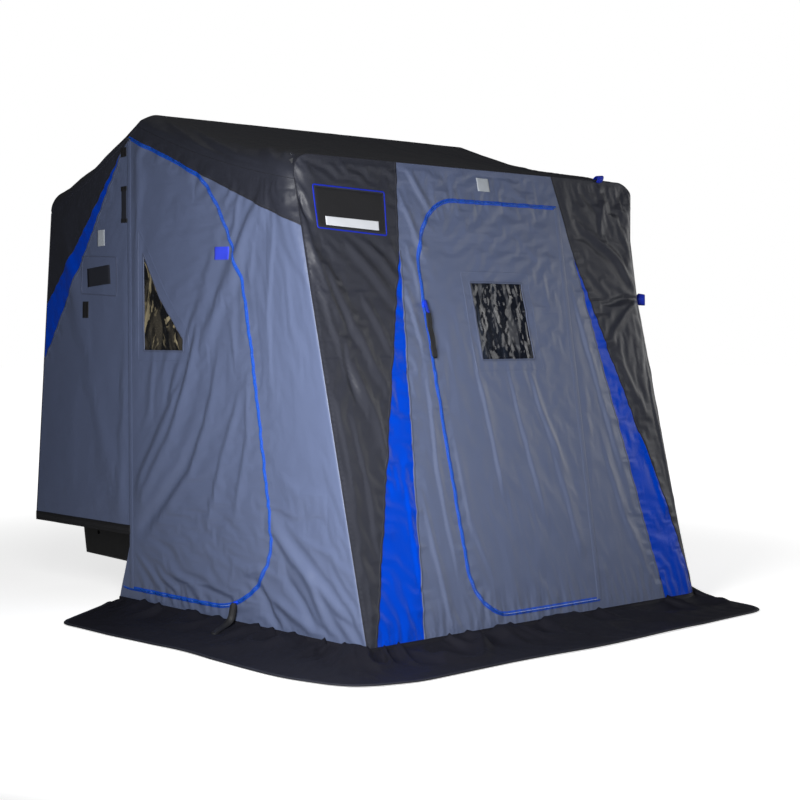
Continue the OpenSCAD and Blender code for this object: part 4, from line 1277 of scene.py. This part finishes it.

# %% [markdown]
# The windows are soft clear vinyl that has been rolled up with the hut, so it is full of sharp creases.
# A flat clear pane would look like glass. A fine mesh with ridged waves breaks up the reflections.
# Long pale streaks in its colour are painted reflections, and its deep base colour is painted shade of the
# unlit inside seen through the film.

# %% Window film
def film_finish(name, inner_shade_colour, grey_reflection, warm_reflection, drawn):
    mat, tree, shader = new_finish(name)
    where = add_node(tree, "UVMap", uv_map="Cut").outputs[0]
    flat = add_node(tree, "Mapping", Scale=(1.0, drawn, 1.0), Rotation=(0, 0, 0.2), Vector=where).outputs[0]
    # Painted shade: the base colour stands for the unlit inside seen through the film, and the pale flows
    # mixed over it are painted reflections.
    tone = inner_shade_colour
    for size, start, width, bend, colour in ((8.0, 0.47, 0.16, 1.6, grey_reflection), (11.0, 0.54, 0.07, 2.0, warm_reflection)):
        flow = add_node(tree, "TexNoise", Scale=size, Detail=2.5, Roughness=0.55, Distortion=bend,
                        Vector=flat)
        mask = add_node(tree, "MapRange", interpolation_type="SMOOTHSTEP", From_Min=start,
                        From_Max=start + width, Value=flow.outputs[0]).outputs[0]
        tone = mixed(tree, mask, tone, colour)
    fold = placed(tree, crumple, Vector=flat, Creases_per_metre=22.0).outputs["Height"]
    bump = add_node(tree, "Bump", Strength=0.9, Distance=0.005, Height=fold).outputs[0]
    wire(tree, shader, Base_Color=tone, Normal=bump, Alpha=0.93, IOR=1.5,
         Roughness=maths(tree, "MULTIPLY_ADD", mask, 0.2, 0.12))
    return mat

FRONT_FILM = film_finish("Front window film", rgb(17, 21, 31), rgb(38, 45, 58), rgb(60, 62, 68), 0.16)
SIDE_FILM = film_finish("Side window film", rgb(16, 17, 20), rgb(66, 62, 54), rgb(142, 132, 106), 0.5)
print("film finishes", [m.name for m in (FRONT_FILM, SIDE_FILM)])

# %% [markdown]
# The film, its binding and the stitched line round it are the same outline at different distances.
# These helpers move an outline outward and round its corners, so no second outline is drawn by hand.

# %% Outlines round an opening
def offset_ring(ring, gap):
    """A ring moved outward by a gap, with its corners kept."""
    if ring_area(ring) < 0:
        ring = ring[::-1]
    na, nb = (np.stack([d[:, 1], -d[:, 0]], 1) / np.linalg.norm(d, axis=1)[:, None]
              for d in (ring - np.roll(ring, 1, axis=0), np.roll(ring, -1, axis=0) - ring))
    m = na + nb
    m /= np.maximum((m * na).sum(1), 0.25)[:, None]
    return ring + m * gap

def round_ring(ring, radius, n=5):
    """A ring with each corner turned into a small arc."""
    out = []
    for p, a, b in zip(ring, np.roll(ring, 1, axis=0), np.roll(ring, -1, axis=0)):
        la, lb = np.linalg.norm(a - p), np.linalg.norm(b - p)
        s, e = p + (a - p) / la * min(radius, la / 3), p + (b - p) / lb * min(radius, lb / 3)
        out += [(1 - t) ** 2 * s + 2 * t * (1 - t) * p + t * t * e for t in np.linspace(0, 1, n)]
    return np.array(out)

def straight(ring):
    """A ring without the points that lie on its straight runs."""
    a, b = ring - np.roll(ring, 1, axis=0), np.roll(ring, -1, axis=0) - ring
    turn = np.abs(a[:, 0] * b[:, 1] - a[:, 1] * b[:, 0])
    return ring[turn > 0.02 * np.linalg.norm(a, axis=1) * np.linalg.norm(b, axis=1)]

def loop_strip(name, board, ring, radius, section, mat, body, step):
    """A sewn strip of a width and height that runs round a ring with rounded corners."""
    return strips(name, [(board, round_ring(ring, radius))], flat_profile(*section), mat, body, step, True)
print("outline helpers ready")

# %% [markdown]
# A window is a sheet of film sewn in behind its opening, with a bound edge and a stitched line round it.
# The creases are real relief here, because bump alone would look painted on a sheet this smooth.

# %% Windows
FILM_BEHIND, FILM_UNDER = 0.0024, 0.006

def window(node, door, board, body):
    hole = straight(cuts(door, board)[1])
    ring = offset_ring(hole, FILM_UNDER)
    uv, tri = blank([ring], [], 0.0062)
    crease = 0.0042 * noise(uv, 0.075, 91, 1.35, 3.2) + 0.003 * ridges(uv, 0.034, 92, 1.75, 2.6)
    crease += 0.0016 * ridges(uv, 0.017, 93, 0.9, 1.8)
    points = surface(board, uv, crease * ease(0.0, 0.03, far_from(uv, ring)) - FILM_BEHIND)
    film = FRONT_FILM if board == "front" else SIDE_FILM
    ob = add_mesh("Film_" + node, points, outward(points, tri, out_of(board)), [film], uv, body)
    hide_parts(node)
    for name, gap, radius, section, mat, step in (
            ("Binding", 0.0035, 0.006, (0.009, 0.0013), GREY_SEAM, 0.005),
            ("Stitched_surround", 0.042, 0.012, (0.007, 0.0006), GREY, 0.007)):
        loop_strip(f"{name}_{node}", board, offset_ring(hole, gap), radius, section, mat, body, step)

window("front_window", "front_door", "front", "front_leaf")
window("left_window", "left_door", "left", "left_leaf")
window("right_window", "right_door", "right", "hut")

# %% [markdown]
# Small sewn things tell that the hut is real: reflective labels, hook tape for window covers and tie tabs.
# Each is a short strip on the cloth, and the webbing ones show a back stitch. The name fields stay blank.

# %% Labels and tabs
LOW_TAB, HIGH_TAB = 0.0016, 0.0022

def label(name, board, low, high, mat, body="hut", height=LOW_TAB, turn=0.0):
    """A patch from a low corner to a high corner on a board, laid on as a broad strip."""
    low, high = np.array(low, float), np.array(high, float)
    if board in ("left", "right"):
        low[0], high[0] = low[0] + RIDGE_Y, high[0] + RIDGE_Y
    mid, size = (low + high) / 2, np.abs(high - low)
    lift = np.array([math.sin(turn), math.cos(turn)]) * size[1] / 2
    w = size[0] / 2
    half = [(-w - 0.0004, -0.0015), (-w, height * 0.7), (-w * 0.8, height), (-w * 0.3, height)]
    profile = half + [(-a, h) for a, h in half[::-1]]
    return strips(name, [(board, [mid - lift, mid + lift])], profile, mat, body, 0.006)

label("Head_label", "front", (-0.011, 1.657), (0.055, 1.709), REFLECTIVE)
label("Side_loop_patch", "left", (-0.592, 1.37), (-0.507, 1.416), BLUE_MARK, "left_leaf")
for side in ("left", "right"):
    for name, low, high, mat, height, turn in (
            ("peak_tab", (0.087, 1.768), (0.126, 1.805), BLACK_WEB, LOW_TAB, 0.0),
            ("vent_strip", (0.09, 1.53), (0.124, 1.645), HOOK_TAPE, LOW_TAB, 0.0),
            ("vent_strip_top", (0.086, 1.638), (0.128, 1.655), BLACK_WEB, HIGH_TAB, 0.0),
            ("vent_strip_foot", (0.084, 1.52), (0.127, 1.535), BLACK_WEB, HIGH_TAB, 0.0),
            ("reflective_label", (0.25, 1.442), (0.302, 1.503), REFLECTIVE, LOW_TAB, 0.0),
            ("hook_patch", (0.212, 1.292), (0.382, 1.364), HOOK_TAPE, LOW_TAB, 0.06),
            ("tie_tab", (0.375, 1.166), (0.413, 1.231), BLACK_WEB, HIGH_TAB, 0.0)):
        label(f"{side}_{name}", side, low, high, mat, "hut", height, turn)
    ring = np.array([(0.165, 1.25), (0.425, 1.262), (0.425, 1.41), (0.165, 1.396)]) + (RIDGE_Y, 0)
    loop_strip(f"{side}_patch_surround", side, ring, 0.01, (0.007, 0.0008), GREY_SEAM, "hut", 0.008)
loop_strip("Badge_outline", "front", BADGE, 0.008, (0.0055, 0.0016), BLUE_WEB, "hut", 0.006)
print("labels sewn on both sides")

# %% [markdown]
# The badge is a printed patch with a stitched outline. It carries no name: its bar is left pale and empty.
# Its shape has four unequal corners, so it is laid over them as a small grid with its rim tucked in.

# %% Badge
def quad(name, board, corners, mat, height, n=(44, 20)):
    """A thin patch over four corners, with its rim tucked into the cloth."""
    a, b, c, d = [np.array(p, float) for p in corners]
    s, t = (g.ravel()[:, None] for g in np.meshgrid(np.linspace(0, 1, n[0]), np.linspace(0, 1, n[1])))
    uv = (a * (1 - s) + b * s) * (1 - t) + (d * (1 - s) + c * s) * t
    edge = np.minimum(np.minimum(s, 1 - s) * n[0], np.minimum(t, 1 - t) * n[1])[:, 0]
    points = surface(board, uv, np.where(edge < 0.5, -0.0012, height))
    return add_mesh(name, points, outward(points, grid_faces(n[1], n[0]), out_of(board)), [mat], uv)

quad("Badge_field", "front", offset_ring(BADGE[::-1], -0.004)[::-1], BLACK_WEB, 0.0014)
NAME_BAR = [(-0.816, 1.523), (-0.557, 1.514), (-0.561, 1.478), (-0.818, 1.489)]
quad("Badge_name_bar", "front", NAME_BAR, PALE_PRINT, 0.0024)
print("badge done")

# %% [markdown]
# The snow skirt is one long strip of heavy coated cloth, sewn to the foot of the walls and laid on the ice.
# Its hem runs freely, so it is given by stations: a place along the wall and the point of the hem off it.

# %% Stations of the hem
SEAM_Z = front_foot[2]
FOOT_Y = float(front_y(SEAM_Z)) - RIDGE_Y
STATIONS = {
    "left": [(0.158, (-0.952, 0.205)), (0.125, (-1.06, 0.15)), (0.06, (-1.2, 0.055)),
             (-0.02, (-1.318, -0.03)), (-0.33, (-1.315, -0.33)), (-0.555, (-1.299, -0.555)),
             (-0.782, (-1.29, -0.782)), (-1.08, (-1.306, -1.15)), (-1.25, (-1.309, -1.389)),
             (-1.33, (-1.258, -1.6)), (FOOT_Y, (-1.2, -1.67))],
    "front": [(-HALF, (-1.199, -1.671)), (-0.85, (-1.031, -1.722)), (-0.554, (-0.554, -1.712)),
              (-0.158, (-0.158, -1.722)), (0.35, (0.38, -1.7)), (0.78, (0.88, -1.676)),
              (0.85, (0.946, -1.616)), (HALF, (0.975, -1.45))],
    "right": [(FOOT_Y, (0.976, -1.449)), (-1.26, (1.0, -1.34)), (-1.14, (1.15, -1.135)),
              (-0.96, (1.285, -0.965)), (-0.6, (1.31, -0.6)), (-0.2, (1.305, -0.2)), (-0.02, (1.24, 0.03)),
              (0.1, (1.06, 0.15)), (0.158, (0.952, 0.205))],
}
HEM_STEP, HEM_SMOOTH = 0.011, 6

def skirt_rows():
    """Inner places on the boards, and outer points on the ice."""
    inner, outer = [], []
    for board, stops in STATIONS.items():
        for (u0, p0), (u1, p1) in zip(stops, stops[1:]):
            n = max(2, int(np.linalg.norm(np.subtract(p1, p0)) / HEM_STEP))
            inner += [(board, u0 + (u1 - u0) * (k / n)) for k in range(n)]
            outer += [np.array(p0) + (np.array(p1) - np.array(p0)) * (k / n) for k in range(n)]
    inner.append((board, stops[-1][0]))
    outer = np.array(outer + [np.array(stops[-1][1])])
    pad = np.pad(outer, ((HEM_SMOOTH, HEM_SMOOTH), (0, 0)), mode="edge")
    places = 2 * HEM_SMOOTH + 1
    return inner, sum(pad[k:k + len(outer)] for k in range(places)) / places
print("stations of the hem", sum(map(len, STATIONS.values())))

# %% [markdown]
# The cloth is gathered at the seam, so short swells run outward and die away before the hem.
# Noise that is longer across the hem than along it gives those swells, and it fades at both ends.

# %% How the skirt lies
LIE = 0.0042

def seam_points(z, lift):
    out = np.empty((len(inner), 3))
    for board in STATIONS:
        rows = [i for i, (b, _) in enumerate(inner) if b == board]
        u = np.array([inner[i][1] + (0 if board == "front" else RIDGE_Y) for i in rows])
        out[rows] = surface(board, np.stack([u, np.full(len(u), z)], 1), lift)
    return out

def lay(off):
    """Height of the skirt's upper face over the ice, by distance from the wall."""
    p, room = np.stack([gone, off], 1), span - off
    fall = 0.027 * np.exp(-(off / 0.045) ** 1.5)
    gather = 0.03 * np.maximum(0, 1 - 2.2 * np.abs(noise(p, 0.12, 101, math.pi / 2, 2.6)))
    gather *= np.exp(-((off - 0.05) / 0.12) ** 2)
    swell = 0.022 * np.maximum(0, 1 - 2.4 * np.abs(noise(p, 0.26, 102, math.pi / 2 + 0.7, 1.6)))
    swell *= ease(0.0, 0.08, off)
    small = np.maximum(ridges(p, 0.06, 103, math.pi / 2 - 0.4, 2.6) * 0.005, -0.0006) * ease(0, 0.03, off)
    hem = 0.0016 * ease(0.02, 0.004, room) + 0.003 * np.maximum(0, noise(p, 0.3, 104)) * ease(0.1, 0.0, room)
    ends = ease(0.0, 0.25, gone) * ease(0.0, 0.25, gone.max() - gone)
    quiet = (1 - 0.6 * ease(0.14, 0.34, off)) * ease(0.0, 0.12, room) * (0.15 + 0.85 * ends)
    return LIE + fall + (gather + swell + small) * quiet + hem

def laid(off, lift=0.0):
    """A line of the skirt at a distance from the wall."""
    flat = wall[:, :2] + way * (off + wave * off / span)[:, None]
    return np.column_stack([flat, lay(off) + lift])
print("the flat skirt lies", LIE * 1000, "mm over the ice")

# %% [markdown]
# Each line of the skirt is the wall's line moved a share of the way to the hem, at its own height.
# The lines are closer near the wall, where the cloth turns sharply from the wall onto the ice.

# %% Snow skirt
inner, outer = skirt_rows()
gone = distance_gone(outer)
outer = outer + (0, RIDGE_Y)
wall = seam_points(SEAM_Z, 0.0015)
span = np.linalg.norm(outer - wall[:, :2], axis=1)
way = (outer - wall[:, :2]) / span[:, None]
wave = 0.006 * noise(np.stack([gone, np.zeros(len(gone))], 1), 0.45, 105)
shares = [*np.linspace(0.012, 0.3, 14), *np.linspace(0.33, 0.985, 22), 1.0]
columns = [seam_points(SEAM_Z + 0.014, 0.0012), seam_points(SEAM_Z + 0.005, 0.003)]
columns += [laid(span * q) for q in shares]
across = np.stack([np.broadcast_to(o, len(gone)) for o in [-0.016, -0.006] + [span * q for q in shares]], 1)
points, faces, uv = woven(columns, gone, across, out_of("roof"))
skirt = add_mesh("Snow_skirt", points, faces, [SKIRT, LINING], uv, "hut", 0.0025)
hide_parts("front_skirt", "left_skirt", "right_skirt")

# %% [markdown]
# The hem is folded over and topstitched. A thin strip along the outer edge gives its step and its thread.

# %% Skirt hem
HEM_IN, HEM_WIDE = 0.011, 0.018
HEM_PROFILE = [(-0.5, 0.0), (-0.42, 0.0022), (0, 0.0026), (0.42, 0.0022), (0.5, 0.0)]
columns = [laid(span - HEM_IN + HEM_WIDE * s, h) for s, h in HEM_PROFILE]
points, faces, uv = woven(columns, gone, [s * HEM_WIDE for s, _ in HEM_PROFILE], out_of("roof"))
add_mesh("Skirt_hem", points, faces, [BLACK_SEAM], uv)
print("hem laid", len(points))

# %% [markdown]
# Where the fabric meets the sled it ends in a band of heavy webbing, screwed to the sled's rim.

# %% Sled bands
band_low, band_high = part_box("sled_bands")
mid, wide = (band_low.z + band_high.z) / 2, band_high.z - band_low.z
runs = [(side, np.array([(SEAM_Y + 0.004, mid), (rear_y(mid) - 0.001, mid)])) for side in ("left", "right")]
runs.append(("rear", np.array([(-HALF + 0.001, mid), (HALF - 0.001, mid)])))
bands = strips("Sled_bands_webbing", runs, flat_profile(wide, 0.0026, 0.001), BLACK_WEB, thick=0.0035)
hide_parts("sled_bands")
print("bands", [round(v, 3) for v in (mid, wide)])

# %% [markdown]
# The side door's slider hangs at the turn of its zip, and its pull drapes over the skirt.
# Loops of blue webbing for guy ropes stand off the right corner, the roof's edge and the rear wall.

# %% Side pull and guy loops
at, along = near(side_zip[side_zip[:, 1] < 0.3], RIDGE_Y - 0.63, 0)
slider("Left_zip_slider", "left", at, along)
start = surface("left", at[None], 0.012)[0]
drape = [(-0.022, 0.006, 0.052), (-0.05, 0.0, 0.036), (-0.1, -0.022, 0.027), (-0.15, -0.06, 0.022)]
knots = [start, start + (-0.002, 0.004, -0.03)] + [(-HALF + x, start[1] + y, z) for x, y, z in drape]
pull("Left_zip_pull", chaikin(knots, 3), (-0.74, 0.67, 0.1), 0.028)

def guy_loop(name, root, out, across, width=0.026, reach=0.026):
    """A short loop of webbing that stands off the cloth."""
    root, out, across = (np.array(v, float) for v in (root, out, across))
    out, across = out / np.linalg.norm(out), across / np.linalg.norm(across)
    rise = np.cross(out, across)
    t = np.linspace(-0.2, math.pi + 0.2, 20)[:, None]
    path = root + out * (reach * (np.sin(t) + 0.1)) + rise * (0.011 * np.cos(t))
    return pull(name, path, across, width, BLUE_WEB, 0.0011)

LOOP_Z, LOOP_TURN = 1.25, math.radians(42)
r, c, s = float(corner_round(LOOP_Z, 1)), math.cos(LOOP_TURN), math.sin(LOOP_TURN)
root = (HALF - r + r * c, float(front_y(LOOP_Z)) + r - r * s, LOOP_Z)
guy_loop("right_corner_loop", root, (c, -s, -0.1), (0.12, 0.12, 1.0), 0.046, 0.032)
root = surface("roof", [(0.72, -ROOF_RUN[0] + 0.004)])[0]
guy_loop("right_roof_loop", root, (0, -0.6, 0.7), (1, 0, 0.1), 0.04, 0.022)
guy_loop("right_rear_loop", surface("rear", [(HALF - 0.03, 1.15)])[0], (0.5, 0.9, 0), (0, 0, 1))
print("loops done")

# %% [markdown]
# The sled is moulded from black polyethylene: slightly waxy, pebbled by its mould and scuffed by dragging.
# The poles are plain aluminium and the brackets are powder coated.

# %% Finishes of the sled and poles
SLED = metal_paint("Moulded polyethylene", rgb(9, 9, 10), 0.5, 0.0, 0.3)
POLE = metal_paint("Satin aluminium", rgb(168, 170, 174), 0.38, 1.0, 0.2)
BRACKET = metal_paint("Black powder coat", rgb(36, 36, 40), 0.5, 0.0, 0.2)
for node, mat in (("sled", SLED), ("left_pivot", BRACKET), ("right_pivot", BRACKET),
                  ("rear_bow", POLE), ("centre_bow", POLE), ("front_bow", POLE)):
    for s in frame["nodes"][node].material_slots:
        s.material = mat
print("carried-over solids dressed")

# %% [markdown]
# The camera stands low off the hut's left front corner, far enough away that the walls hardly taper.

# %% Camera
CAMERA_AT = (-4.5465, RIDGE_Y - 5.4823, 1.1114)
LOOK_DOWN, LOOK_RIGHT, LENS = 2.3757, 42.4193, 73.8
camera = bpy.data.objects.new("Camera", bpy.data.cameras.new("Camera"))
camera.location = CAMERA_AT
camera.rotation_euler = (math.radians(90 - LOOK_DOWN), 0, math.radians(-LOOK_RIGHT))
camera.data.lens = LENS
camera.data.clip_end = 200
scene.collection.objects.link(camera)
scene.camera = camera
scene.view_settings.view_transform = "Standard"
print("camera at", CAMERA_AT)

# %% [markdown]
# The studio is a plain white floor that fades out toward the horizon.
# It is a little bright to the camera only, so it looks white without lighting the hut from below.

# %% Studio floor
FLOOR_REACH, FLOOR_DROP = 40, 0.0015

def floor_finish():
    mat, tree, shader = new_finish("Studio floor")
    path = add_node(tree, "LightPath").outputs["Is Camera Ray"]
    where = add_node(tree, "TexCoord").outputs["Object"]
    reach = add_node(tree, "VectorMath", operation="LENGTH")
    fill(tree, reach.inputs[0], where)
    far = add_node(tree, "MapRange", interpolation_type="SMOOTHSTEP", From_Min=2.2, From_Max=5.5, To_Min=0.7,
                   To_Max=1.1, Value=reach.outputs["Value"])
    wire(tree, shader, Base_Color=(0.82, 0.82, 0.82, 1), Roughness=0.9, Specular_IOR_Level=0.1,
         Emission_Color=(1, 1, 1, 1), Emission_Strength=maths(tree, "MULTIPLY", path, far.outputs[0]))
    return mat

corners = [(x * FLOOR_REACH, y * FLOOR_REACH, 0) for x, y in ((-1, -1), (1, -1), (1, 1), (-1, 1))]
floor = add_mesh("Studio_floor", corners, [(0, 1, 2, 3)], [floor_finish()], body=None)
floor.location.z = -FLOOR_DROP
print("floor reaches", FLOOR_REACH, "m each way")

# %% [markdown]
# The world is white to the camera and through the film, so the background is clean.
# To glossy rays it is dim, because wide coated cloth that mirrored a white world would turn grey.

# %% World
GLOSS_LEVEL = 0.06
world = bpy.data.worlds.new("Studio")
world.use_nodes = True
scene.world = world
tree = world.node_tree
ground = tree.nodes["Background"]
rays = add_node(tree, "LightPath").outputs
seen = maths(tree, "MAXIMUM", rays["Is Camera Ray"], rays["Is Transmission Ray"])
wire(tree, ground, Color=(1, 1, 1, 1), Strength=maths(tree, "MAXIMUM", seen, GLOSS_LEVEL))
print("world level for glossy rays", GLOSS_LEVEL)

# %% [markdown]
# Broad soft lamps light the walls. The roof stays darker than they are, so most light comes from the sides.
# The lamp on the far side lights the right wall, which the others don't reach.

# %% Lamps
def lamp(name, at, to, size, power, spread=180):
    data = bpy.data.lights.new(name, "AREA")
    data.spread = math.radians(spread)
    data.shape = "RECTANGLE"
    data.size, data.size_y = size
    data.energy = power
    ob = bpy.data.objects.new(name, data)
    ob.location = at
    ob.rotation_euler = (Vector(to) - Vector(at)).to_track_quat("-Z", "Y").to_euler()
    ob.visible_camera = False
    scene.collection.objects.link(ob)

lamp("Key", (-2.5, -1.75, 1.3), (-0.93, -1.0, 0.9), (0.9, 1.4), 62, spread=140)
lamp("Front", (0.6, -6.0, 2.6), (0.1, -0.9, 0.9), (2.4, 2.4), 45)
lamp("Right", (5.2, -2.8, 2.3), (0.3, -0.3, 0.9), (2.5, 2.5), 34)
lamp("Far side", (6.0, -0.7, 2.0), (0.93, -0.3, 0.9), (2.5, 2.5), 34)
lamp("Top", (0.3, 0.6, 5.2), (0, 0.2, 1.9), (3.0, 3.0), 9)
